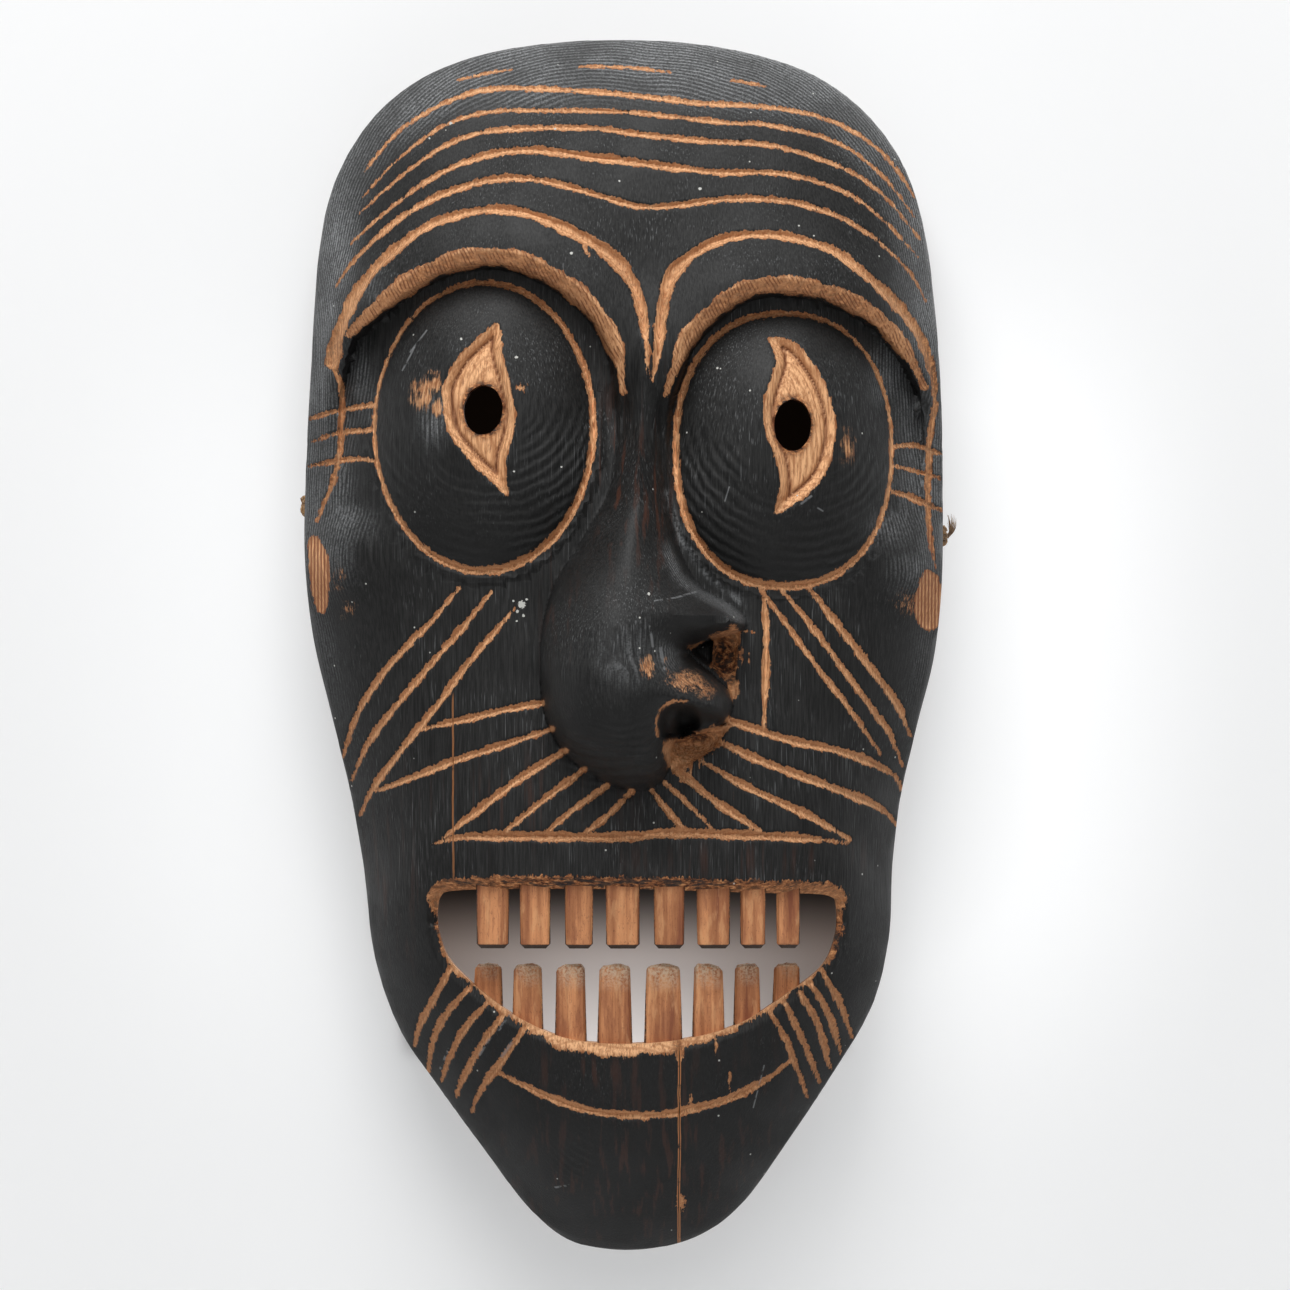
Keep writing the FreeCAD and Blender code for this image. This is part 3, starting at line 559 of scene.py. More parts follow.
def smooth_line(points, step, closed=False):
    """A smooth curve through given points, as closely spaced points."""
    points = np.array(points, float)
    if closed:
        padded = np.concatenate([points[-1:], points, points[:2]])
    else:
        padded = np.concatenate([[2 * points[0] - points[1]], points, [2 * points[-1] - points[-2]]])
    pieces = []
    for before, start, end, after in zip(padded, padded[1:], padded[2:], padded[3:]):
        share = np.linspace(0, 1, max(int(np.linalg.norm(end - start) / step), 1), endpoint=False)[:, None]
        lean, turn = (end - before) / 2, (after - start) / 2
        gap = end - start
        pieces.append(start + share * (lean + share * (3 * gap - 2 * lean - turn
                                                       + share * (lean + turn - 2 * gap))))
    return np.concatenate(pieces + ([] if closed else [points[-1:]]))


def smooth_step(low, high, value):
    """0 below low, 1 above high and smooth between."""
    share = np.clip((value - low) / (high - low), 0, 1)
    return share * share * (3 - 2 * share)


def near_line(x, h, line, widths=None):
    """Distance of each point from a line, less the line's own half width where it is nearest."""
    best = np.full(x.shape, 1e3)
    for index in range(len(line) - 1):
        (ax, ah), (bx, bh) = line[index], line[index + 1]
        length = (bx - ax) ** 2 + (bh - ah) ** 2 + 1e-9
        share = np.clip(((x - ax) * (bx - ax) + (h - ah) * (bh - ah)) / length, 0, 1)
        gap = np.hypot(x - ax - share * (bx - ax), h - ah - share * (bh - ah))
        if widths is not None:
            gap = gap - (widths[index] + share * (widths[index + 1] - widths[index])) / 2
        best = np.minimum(best, gap)
    return best


def inside_shape(x, h, outline):
    """Signed distance from a closed outline: positive inside it."""
    line = np.concatenate([outline, outline[:1]])
    gap = near_line(x, h, line)
    crossings = np.zeros(x.shape, int)
    for (ax, ah), (bx, bh) in zip(line, line[1:]):
        spans = (ah > h) != (bh > h)
        at = ax + (h - ah) * (bx - ax) / (bh - ah + 1e-12)
        crossings += spans & (x < at)
    return np.where(crossings % 2 == 1, gap, -gap)


def local(x, h, outline, reach, compute, otherwise):
    """compute(x, h) for the points within reach of an outline's box, otherwise a constant."""
    low, high = outline.min(axis=0) - reach, outline.max(axis=0) + reach
    chosen = (x > low[0]) & (x < high[0]) & (h > low[1]) & (h < high[1])
    result = np.full(x.shape, float(otherwise))
    if chosen.any():
        result[chosen] = compute(x[chosen], h[chosen])
    return result


def inside_near(x, h, line, reach, otherwise):
    """How far inside a closed line the points near it are, otherwise a constant."""
    return local(x, h, line, reach, lambda px, ph: inside_shape(px, ph, line), otherwise)


def within_cuts(x, h, cuts):
    """How far inside the widest of several tapered cuts each point is; negative outside."""
    amount = np.full(x.shape, NOT_CUT)
    for line, widths in cuts:
        inward = local(x, h, line, 5.0, lambda px, ph: -near_line(px, ph, line, widths), NOT_CUT)
        amount = np.maximum(amount, inward)
    return amount


def within_shapes(x, h, lines, reach):
    """How far inside any of several closed lines each point is; negative outside."""
    amounts = [inside_near(x, h, line, reach, NOT_CUT) for line in lines]
    return np.maximum(np.maximum.reduce(amounts), NOT_CUT)


def polar(x, h):
    """Distance and direction of points from the middle of the face."""
    across, up = x - FACE_CENTRE[0], h - FACE_CENTRE[1]
    return np.hypot(across, up), np.arctan2(up, across)


def radius_by_turn(line):
    """A function that gives a closed outline's distance from the middle in each direction."""
    reach, turn = polar(*line.T)
    return lambda at: np.interp(at, turn, reach, period=2 * math.pi)


outline_radius = radius_by_turn(smooth_line(OUTLINE, 0.8, closed=True))
mouth_line = smooth_line(MOUTH, 1.0, closed=True)
leaf_lines = [smooth_line(leaf, 1.0, closed=True) for leaf in LEAVES]
patch_lines = [smooth_line(patch, 1.0, closed=True) for patch in RAW_PATCHES]
nose_line = smooth_line(NOSE_EDGE, 1.2, closed=True)


def cut_ready(number, width, first, last, points):
    """A cut's smooth line and its widths, tapered at both ends and wandering slightly."""
    line = smooth_line(points, 1.4)
    run = np.concatenate([[0], np.cumsum(np.hypot(*np.diff(line, axis=0).T))])
    if isinstance(width, list):
        at = [np.argmin(np.hypot(*(line - point).T)) for point in points]
        width = np.interp(run, run[at], width)
    taper = min(9.0 + 0.1 * run[-1], run[-1] / 3)
    share = first + (1 - first) * smooth_step(0, taper, run)
    share = np.minimum(share, last + (1 - last) * smooth_step(0, taper, run[-1] - run))
    wander = np.sin(run * 0.31 + 1.7 * number) + 0.6 * np.sin(run * 0.83 + 2.9 * number)
    return line, width * share * (1 + EDGE_WANDER * wander)


ready_cuts = [cut_ready(number, *cut) for number, cut in enumerate(CUT_LINES)]
ready_chamfers = [cut_ready(number, *cut) for number, cut in enumerate(BROW_CHAMFERS)]


def plain_face(x, h):
    """Depth of the face without its relief: nearly flat inside, rolling over at the outline."""
    away, turn = polar(x, h)
    reach = np.minimum(away / outline_radius(turn), 1.0)
    return SIDE_DEPTH + FACE_RISE * (1 - reach ** (3.4 + 3.0 * np.sin(turn) ** 2))


def swelling(x, h, middle, reach_x, reach_h, height=1.0):
    """A soft round swelling with the given height at its middle."""
    return height * np.exp(-((x - middle[0]) / reach_x) ** 2 - ((h - middle[1]) / reach_h) ** 2)


def eye_reach(x, h, eye):
    """How far out each point is from an eye's middle, 1 at the ring, and its height share."""
    across, up = (x - eye[0]) / eye[2], (h - eye[1]) / eye[3]
    reach = (np.abs(across) ** eye[4] + np.abs(up) ** eye[4]) ** (1 / eye[4])
    bearing = np.mod(np.arctan2(up, across) + math.pi / 2, 2 * math.pi)  # from straight below
    return reach, up / np.maximum(reach, 0.01), bearing


def eye_relief(x, h):
    """Brow rolls, sunk sockets and the domed eyeballs."""
    depth = np.zeros(x.shape)
    for eye in EYES:
        reach, upward, turn = eye_reach(x, h, eye)
        edge = smooth_line(eye[5], 2.0)
        edge_reach, _, edge_turn = eye_reach(edge[:, 0], edge[:, 1], eye)
        order = np.argsort(edge_turn)
        past = (reach - np.interp(turn, edge_turn[order], edge_reach[order])) * math.sqrt(eye[2] * eye[3])
        lift = smooth_step(-0.55, 0.45, upward)
        over = smooth_step(-3.6, -1.7, past)
        depth -= CHAMFER_FALL * lift * (1 - np.clip((past + 1.8) / 3.8, 0, 1))
        depth -= (SOCKET_DEPTH - CHAMFER_FALL) * lift * (1 - over)
        depth += BROW_ROLL * smooth_step(0.0, 0.6, upward) * over * np.exp(-(np.maximum(past, 0) / 15) ** 2)
        dome = np.clip(1 - reach**2, 0, 1) ** 0.8
        depth += (EYE_BULGE + SOCKET_DEPTH * lift) * dome
    return depth


def nose_relief(x, h):
    """The bridge and the bulb of the nose, rounded in from its edge."""
    profile = np.array(NOSE_PROFILE)
    share, width, shape = (np.interp(h, profile[:, 0], profile[:, item]) for item in (1, 2, 3))
    inward = inside_near(x, h, nose_line, 2.0, FAR_OUT)
    roll = 1 - (1 - np.clip(inward / width, 0, 1)) ** 2
    return NOSE_HEIGHT * share * roll**shape


def cut_amount(x, h):
    """How far inside raw cut wood each point is, in millimetres; negative outside."""
    amount = within_cuts(x, h, ready_cuts)
    for eye in EYES:
        reach, upward, turn = eye_reach(x, h, eye)
        inner = np.clip((x - eye[0]) * -np.sign(eye[0]) / eye[2], -1, 1)
        wander = 0.10 * np.sin(7 * turn) * np.sin(3 * turn + 1)
        width = RING_WIDTH * (1 + 0.25 * inner - 0.22 * upward + wander)
        amount = np.maximum(amount, width / 2 - np.abs(reach - 1) * (eye[2] + eye[3]) / 2)
    return amount


def chamfer_amount(x, h):
    """How far inside the raw lower edge of a brow each point is."""
    return within_cuts(x, h, ready_chamfers)


def leaf_amount(x, h):
    """How far inside a leaf-shaped eye opening each point is."""
    return within_shapes(x, h, leaf_lines, 5.0)


def patch_amount(x, h):
    """How far inside a shaved raw patch each point is."""
    return within_shapes(x, h, patch_lines, 4.0)


def mouth_gap(x, h):
    """Distance outside the mouth's edge."""
    return -inside_near(x, h, mouth_line, 8.0, FAR_OUT)


def pit_reach(x, h, pit):
    """How far inside a nostril's outline each point lies."""
    return inside_near(x, h, smooth_line(pit, 0.8, closed=True), 3.0, -3.0)


def lip_width(x, h):
    """Width of the raw bevel round the mouth: broad above, narrow at the sides, ragged below."""
    below = 1.0 + 3.4 * swelling(x, h, (-3, 68), 31, 12) + 0.5 * np.sin(0.55 * x + 1.2 * np.sin(0.21 * x))
    side = np.where(x < 0, 0.9, 1.9) + 0.5 * np.sin(0.9 * h)
    beside = smooth_step(94, 101, h)
    return below + beside * (side - below) + smooth_step(112, 118, h) * (4.1 - side)


def front_depth(x, h):
    """Depth of the finished carved face."""
    depth = plain_face(x, h) + eye_relief(x, h) + nose_relief(x, h)
    for cheekbone in CHEEKBONES:
        depth += swelling(x, h, *cheekbone) * smooth_step(248, 238, h)
    depth += swelling(x, h, *MUZZLE)
    for sink, soft, pit in NOSTRIL_PITS:
        depth -= sink * smooth_step(-0.4, soft, pit_reach(x, h, pit))
    patch = patch_amount(x, h)
    depth -= 0.5 * smooth_step(0, 1.0, patch)
    for slope in NOSTRIL_SLOPES:
        depth -= swelling(x, h, *slope) * smooth_step(-0.5, 2.0, patch)
    leaf = leaf_amount(x, h)
    bevel = np.clip(leaf / LEAF_BEVEL, 0, 1)
    crease = 0.7 * np.exp(-((leaf - LEAF_BEVEL) / 0.55) ** 2)
    depth -= LEAF_DEPTH * bevel + crease
    fall = np.where(h > UPPER_LIP_ABOVE, UPPER_LIP_FALL, LOWER_LIP_FALL)
    depth -= fall * (1 - np.clip(mouth_gap(x, h) / LIP_BEVEL, 0, 1))
    depth -= np.minimum(CUT_SLOPE * np.clip(cut_amount(x, h), 0, None), CUT_DEEPEST)
    return depth + 0.25 * np.sin(x * 0.21 + h * 0.06) * np.sin(h * 0.17 - x * 0.05)


def back_depth(x, h):
    """Depth of the hollow inside, with the broad scoops of the gouge that cleared it."""
    scoops = 0.8 * np.sin(x * 0.42 + 1.3 * np.sin(h * 0.11)) * np.sin(h * 0.19 + 0.9 * np.sin(x * 0.23))
    return plain_face(x, h) + swelling(x, h, *NOSE_HOLLOW) - SHELL_WALL + scoops


def sheet_place(u, v):
    """Where a point of a square sheet lies: share of the way out, and direction on the face."""
    across, up = u * np.sqrt(1 - v**2 / 2), v * np.sqrt(1 - u**2 / 2)
    out = np.minimum(np.hypot(across, up), 1.0)
    return out, np.arctan2(up * FACE_HALF_SIZE[1], across * FACE_HALF_SIZE[0])


def front_layout(u, v):
    """x, h and share down the side wall for the outer sheet."""
    out, turn = sheet_place(u, v)
    reach = np.minimum(out / FACE_SHARE, 1.0) * outline_radius(turn)
    down = np.clip((out - FACE_SHARE) / (1 - FACE_SHARE), 0, 1)
    return FACE_CENTRE[0] + reach * np.cos(turn), FACE_CENTRE[1] + reach * np.sin(turn), down, turn


def mesh_from(bm, name):
    """A mesh with the shape of a bmesh, which is freed."""
    mesh = bpy.data.meshes.new(name)
    bm.to_mesh(mesh)
    bm.free()
    return mesh


def sheet(name, rounds, wanted):
    """A square sheet of quads, split finer where wanted(x, h, size) says so."""
    bm = bmesh.new()
    bmesh.ops.create_grid(bm, x_segments=SHEET_COLUMNS, y_segments=SHEET_ROWS, size=1.0)
    size = 2 * FACE_HALF_SIZE[0] / FACE_SHARE / SHEET_COLUMNS
    for _ in range(rounds):
        middles = np.array([face.calc_center_median()[:2] for face in bm.faces])
        areas = np.array([face.calc_area() for face in bm.faces])
        x, h, down, _ = front_layout(middles[:, 0], middles[:, 1])
        chosen = wanted(x, h, size) & (down < 0.05) & (areas > 0.6 * areas.min())
        edges = {edge for face, pick in zip(bm.faces, chosen) if pick for edge in face.edges}
        bmesh.ops.subdivide_edges(bm, edges=list(edges), cuts=1, use_grid_fill=True)
        size /= 2
    return mesh_from(bm, name)


def needs_detail(x, h, size):
    """True close to a cut, an edge or the steep sides of the nose."""
    leaf = leaf_amount(x, h)
    near = np.maximum.reduce([cut_amount(x, h), chamfer_amount(x, h), leaf, patch_amount(x, h)])
    near = np.where(leaf > 4.5, -1.0, near)
    gap = mouth_gap(x, h)
    near = np.maximum(near, np.where(gap > -1, 3.5 - gap, -6))
    near = np.maximum(near, 1.2 - np.abs(inside_near(x, h, nose_line, 3.0, FAR_OUT)))
    for _, _, pit in NOSTRIL_PITS:
        near = np.maximum(near, 1.5 + inside_near(x, h, smooth_line(pit, 1.0, closed=True), 3.0, FAR_OUT))
    return near > -0.75 * size


def numbers(items, key, kind=int, each=1):
    """One property of every item of a mesh."""
    values = np.empty(len(items) * each, kind)
    items.foreach_get(key, values)
    return values


def coordinates(mesh):
    """The places of a mesh's vertices."""
    return numbers(mesh.vertices, "co", float, 3).reshape(-1, 3)


def sheet_layout(mesh):
    """Layout of a flat sheet's vertices, and how much the rounded rim pulls each one in."""
    place = coordinates(mesh)
    x, h, down, turn = front_layout(place[:, 0], place[:, 1])
    return x, h, down, turn, RIM_ROUND * smooth_step(0.93, 1.0, down) / outline_radius(turn)


def drawn_in(x, h, share):
    """Points brought nearer to the middle of the face."""
    return FACE_CENTRE[0] + (x - FACE_CENTRE[0]) * share, FACE_CENTRE[1] + (h - FACE_CENTRE[1]) * share


def shell_mesh():
    """The outer and the inner sheet, shaped and joined round the back rim."""
    outer = sheet("outer_sheet", 2, needs_detail)
    x, h, down, _, rounding = sheet_layout(outer)
    depth = front_depth(x, h) * (1 - down)
    x, h = drawn_in(x, h, 1 - rounding)
    outer.vertices.foreach_set("co", to_row(x, h, depth).ravel())

    inner = sheet("inner_sheet", 0, None)
    x, h, down, turn, rounding = sheet_layout(inner)
    line = smooth_line(OUTLINE, 1.2, closed=True)
    normal = np.roll(line, -1, axis=0) - np.roll(line, 1, axis=0)
    normal /= np.hypot(normal[:, 0], normal[:, 1])[:, None]
    line = line + RIM_WALL * np.stack([normal[:, 1], -normal[:, 0]], axis=1)
    x, h = drawn_in(x, h, radius_by_turn(line)(turn) / outline_radius(turn) + rounding)
    depth = back_depth(x, h) * (1 - down)
    inner.vertices.foreach_set("co", to_row(x, h, depth).ravel())
    inner.flip_normals()
    inner.polygons.foreach_set("material_index", np.ones(len(inner.polygons), int))

    bm = bmesh.new()
    bm.from_mesh(outer)
    bm.from_mesh(inner)
    bpy.data.meshes.remove(outer)
    bpy.data.meshes.remove(inner)
    rims = [edge for edge in bm.edges if edge.is_boundary]
    for face in bmesh.ops.bridge_loops(bm, edges=rims)["faces"]:
        face.material_index = 1
    bmesh.ops.triangulate(bm, faces=[face for face in bm.faces if len(face.verts) > 4])
    bmesh.ops.recalc_face_normals(bm, faces=bm.faces)
    return mesh_from(bm, "mask_shell_carved")


def prism(bm, line, near, far):
    """A closed straight prism between two depths, from an outline on the face."""
    points = to_row(line[:, 0], line[:, 1], np.full(len(line), near))
    ring = [bm.verts.new(point) for point in points]
    face = bm.faces.new(ring)
    grown = bmesh.ops.extrude_face_region(bm, geom=[face])["geom"]
    moved = [item for item in grown if isinstance(item, bmesh.types.BMVert)]
    bmesh.ops.translate(bm, verts=moved, vec=(0, -(far - near) * MM, 0))


def bore(bm, start, end, height, depth, radius):
    """A closed round bar along x from start to end, in metres."""
    made = bmesh.ops.create_cone(
        bm, cap_ends=True, segments=28, radius1=radius, radius2=radius, depth=abs(end - start))
    bmesh.ops.rotate(bm, verts=made["verts"], matrix=Matrix.Rotation(math.pi / 2, 3, "Y"))
    bmesh.ops.translate(bm, verts=made["verts"], vec=((start + end) / 2, depth, height))


def cut_away(mesh, name, shape):
    """The mesh with a closed shape taken out of it; shape(bm) draws the shape."""
    bm = bmesh.new()
    shape(bm)
    bmesh.ops.recalc_face_normals(bm, faces=bm.faces)
    for face in bm.faces:
        face.material_index = 2
    tool = linked(name, mesh_from(bm, name))
    body = linked(name + "_body", mesh)
    for item in (tool, body):
        for _ in range(3 - len(item.data.materials)):
            item.data.materials.append(None)
    cut = body.modifiers.new("cut", "BOOLEAN")
    cut.operation = "DIFFERENCE"
    cut.solver = "MANIFOLD"
    cut.object = tool
    result = bpy.data.meshes.new_from_object(body.evaluated_get(bpy.context.evaluated_depsgraph_get()))
    for item in (tool, body):
        data = item.data
        bpy.data.objects.remove(item)
        bpy.data.meshes.remove(data)
    return result


HOLE_RADIUS = 0.0023
SEAT_CLEARANCE = 0.0005
MORTISE_CLEARANCE = 0.00008
TEETH = [f"{row}_tooth_{number}" for row in ("upper", "lower") for number in range(1, 9)]


def openings(bm):
    """Mouth, eye holes and the two cord holes, right through the wall."""
    prism(bm, mouth_line, -5.0, 110.0)
    turn = np.linspace(0, 2 * math.pi, 96, endpoint=False)
    for number, (middle_x, middle_h, half_x, half_h) in enumerate(EYE_HOLES):
        rough = 1 + 0.018 * np.sin(2 * turn + number) + 0.008 * np.sin(9 * turn)
        ring = [middle_x + half_x * rough * np.cos(turn), middle_h + half_h * rough * np.sin(turn)]
        prism(bm, np.stack(ring, axis=1), -5.0, 130.0)
    for end, side in ((CORD_ROUTE[0], -1), (CORD_ROUTE[-1], 1)):
        bore(bm, end[0] + side * 0.014, end[0] - side * 0.022, end[2], end[1], HOLE_RADIUS)


def sockets(bm):
    """Square mortises for the teeth and round seats for the knots."""
    for name in TEETH:
        low, high = (Vector(corner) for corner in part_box(name))
        made = bmesh.ops.create_cube(bm, size=1.0)["verts"]
        bmesh.ops.scale(bm, verts=made, vec=high - low + Vector((1, 1, 1)) * 2 * MORTISE_CLEARANCE)
        bmesh.ops.translate(bm, verts=made, vec=(low + high) / 2)
    for name, side in (("left_cord_knot", -1), ("right_cord_knot", 1)):
        low, high = (Vector(corner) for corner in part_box(name))
        seat = high.x if side < 0 else low.x
        middle = (low + high) / 2
        bore(bm, seat, seat + side * 0.02, middle.z, middle.y, (high.z - low.z) / 2 + SEAT_CLEARANCE)


# Spots on the face: middle, reach across and up, and strength.
# Chalky grey spots; those on the nose are painted highlight and those on the chin painted sheen, the rest are
# dust.
DUST_AND_HIGHLIGHT_SPOTS = [
    ((-97, 335), 9, 24, 1.6), ((98, 335), 8, 26, 1.3), ((6, 212), 22, 18, 0.16), ((14, 197), 7, 9, 0.6),
    ((0, 196), 14, 14, 0.5), ((-16, 32), 16, 14, 0.45), ((30, 34), 12, 18, 0.35),
    ((-62, 274), 6, 10, 0.7), ((-97, 224), 9, 12, 0.9), ((94, 222), 9, 9, 0.9), ((8, 40), 60, 26, 0.14),
    ((-86, 282), 7, 14, 0.6), ((88, 292), 10, 16, 0.6), ((72, 52), 12, 20, 0.4), ((-60, 60), 12, 16, 0.3),
    ((-99, 302), 6, 26, 1.4), ((100, 318), 7, 28, 1.2), ((-84, 318), 8, 9, 0.5), ((86, 290), 7, 12, 0.9),
    ((-88, 288), 5, 12, 0.9), ((-90, 240), 10, 8, 0.8), ((88, 238), 10, 8, 0.7),
]
# The first and the last line follow the nose's lit wing ridge and are painted highlight; the others are dust.
DUST_AND_HIGHLIGHT_LINES = [  # reach either side, share, line
    (2.0, 0.75, [(13.6, 232), (18, 222), (25, 216.4), (33, 212.6), (38.6, 208)]),
    (1.0, 0.55, [(-20, 178), (-15, 170), (-7, 164.6), (2, 163), (9, 166)]),
    (0.5, 0.9, [(10.4, 168), (10.2, 174), (11.4, 179.6)]),
    (1.2, 0.7, [(14, 250), (19, 234), (28, 222), (38, 214)]),
]
SCRATCHES = [  # x and height of both ends, half width
    (10.0, 214.4, 17.0, 215.4, 0.22), (17.0, 215.4, 24.0, 217.5, 0.30), (-25.0, 21.0, -17.6, 22.4, 0.30),
    (58.0, 246.2, 61.2, 248.6, 0.35), (62.4, 245.4, 65.0, 243.8, 0.25), (-57.8, 67.0, -60.6, 60.4, 0.35),
    (-37.0, 79.0, -41.0, 74.0, 0.45), (-44.0, 71.0, -47.4, 65.4, 0.4), (-36.0, 70.8, -40.0, 65.0, 0.5),
    (33.0, 247.0, 34.4, 251.6, 0.2), (12.0, 199.0, 13.0, 192.0, 0.5), (8.6, 206.0, 9.4, 199.6, 0.4),
    (-70.0, 296.0, -64.6, 303.0, 0.25), (-72.6, 290.0, -68.6, 297.4, 0.25), (42.5, 48.0, 46.0, 62.0, 0.2),
]
RUBBED = [
    ((20, 188.5), 10, 6, 0.80), ((7.5, 193), 4, 6.5, 0.80), ((27, 185), 6, 6, 0.72), ((20, 163), 8, 5, 0.5),
    ((-66, 282), 7, 8, 0.80), ((73.5, 265), 4, 10, 0.76), ((-94, 222), 7, 10, 0.56), ((93, 214), 8, 9, 0.62),
    ((-65, 281), 3.5, 5, 0.86), ((-61.4, 286), 2.6, 6, 0.88), ((-61, 277.6), 2.6, 5, 0.88),
    ((73, 271), 2, 2, 0.9),
    ((72, 260), 2, 3, 0.9), ((14, 194), 3, 5, 0.6), ((36, 150), 3, 9, 0.5), ((-91, 212), 5, 8, 0.6),
    ((-30, 360), 30, 2, 0.35), ((-84, 86), 5, 20, 0.4), ((84, 92), 5, 20, 0.4), ((0, 66), 32, 3, 0.5),
]
# Darker, older raw wood; the two broad bands under the brows are painted shade on the down-facing chamfers.
AGED_AND_SHADED_SPOTS = [
    ((-104, 262), 14, 26, 0.8), ((106, 250), 10, 28, 0.8), ((-96, 296), 6, 12, 0.5),
    ((102, 290), 8, 22, 0.7),
    ((0, 122), 100, 5, 1.0), ((-62, 106), 5, 14, 0.95), ((70, 104), 5, 14, 1.0), ((33, 195), 8, 14, 1.0),
    ((22, 164), 14, 8, 0.45), ((22, 170), 14, 3, 0.9), ((-45, 322), 60, 9, 0.5),
    ((55, 312), 60, 9, 0.5), ((18, 68), 2, 4, 0.8), ((60, 46), 40, 60, 0.35), ((-56, 60), 20, 40, 0.3),
    ((-91, 152), 10, 40, 0.45), ((-104, 300), 14, 50, 0.55), ((88, 150), 12, 34, 0.25),
    ((0, 137), 80, 3, 0.25),
]
RIPPLE_GAP = 3.3  # between gouge ripples, in millimetres
NOSE_RIPPLES = ((-4, 164), 20, 9)
NOSE_RIPPLE_TOP = 178
LEVEL_PATCHES = 60  # patches nearer the middle than this are ragged
RAGGED = 0.5  # share of their width that chipped edges count for: lower means more ragged
TICK_GAP = 0.0013
PAINT_FLECKS = [  # x, height and radius
    (-33.5, 213.2, 1.2), (-34.8, 211, 0.5), (-32.8, 209.6, 0.45), (-35, 207.8, 0.35), (-31.8, 214.9, 0.4),
    (-36.2, 214.4, 0.35), (-53.2, 300, 0.45), (-35.1, 294, 0.5), (-17.1, 328, 0.5), (-20.4, 258.2, 0.3),
    (-35.8, 256.6, 0.28), (8.2, 216.6, 0.45), (-57, 371.5, 0.5), (-1.5, 352, 0.35), (25, 349.4, 0.5),
    (30.6, 290.6, 0.4), (56.6, 248.8, 0.25), (-22.6, 369.4, 0.35), (-64, 366.6, 0.3), (36, 122, 0.3),
]
REDDISH = [
    ((-3, 254), 5, 24, 0.8), ((9, 250), 6, 26, 0.8), ((-21, 212), 5, 18, 0.4), ((8, 30), 50, 34, 0.36),
    ((-10, 60), 30, 6, 0.4), ((-34, 150), 30, 12, 0.3), ((40, 130), 40, 5, 0.35), ((-76, 120), 8, 30, 0.3),
]


def sum_of(spots, x, h):
    """The strongest of several soft spots at each point."""
    value = np.zeros(x.shape)
    for spot in spots:
        value = np.maximum(value, swelling(x, h, *spot))
    return value


def dust_and_highlight_share(x, h):
    """Where chalky grey powder clings to the crown and the outer rim, with painted highlight on the upper
    halves of the eyes, the nose and the chin.
    """
    away, turn = polar(x, h)
    reach = away / outline_radius(turn)
    dust_and_highlight = 0.95 * smooth_step(368, 393, h + 0.10 * np.abs(x))
    dust_and_highlight = np.maximum(dust_and_highlight, 0.8 * smooth_step(0.86, 0.97, reach) * smooth_step(120, 250, h))
    dust_and_highlight = np.maximum(dust_and_highlight, 0.7 * smooth_step(80, 96, np.abs(x)) * smooth_step(215, 260, h))
    # Painted highlight: the upper halves of the eye domes are lightened with chalky grey.
    for eye in EYES:
        reach, upward, _ = eye_reach(x, h, eye)
        dust_and_highlight = np.maximum(dust_and_highlight, 0.13 * (1 - smooth_step(0.8, 0.98, reach)) * smooth_step(-0.3, 0.9, upward))
    dust_and_highlight = np.maximum(dust_and_highlight, sum_of(DUST_AND_HIGHLIGHT_SPOTS, x, h))
    for reach, share, line in DUST_AND_HIGHLIGHT_LINES:
        dust_and_highlight = np.maximum(dust_and_highlight, share * np.exp(-(near_line(x, h, line) / reach) ** 2))
    return np.maximum(dust_and_highlight, 0.05)


def mark(mesh, name, values):
    """Store one number for each corner of each face."""
    layer = mesh.attributes.new(name, "FLOAT", "CORNER")
    layer.data.foreach_set("value", values.astype(np.float32))


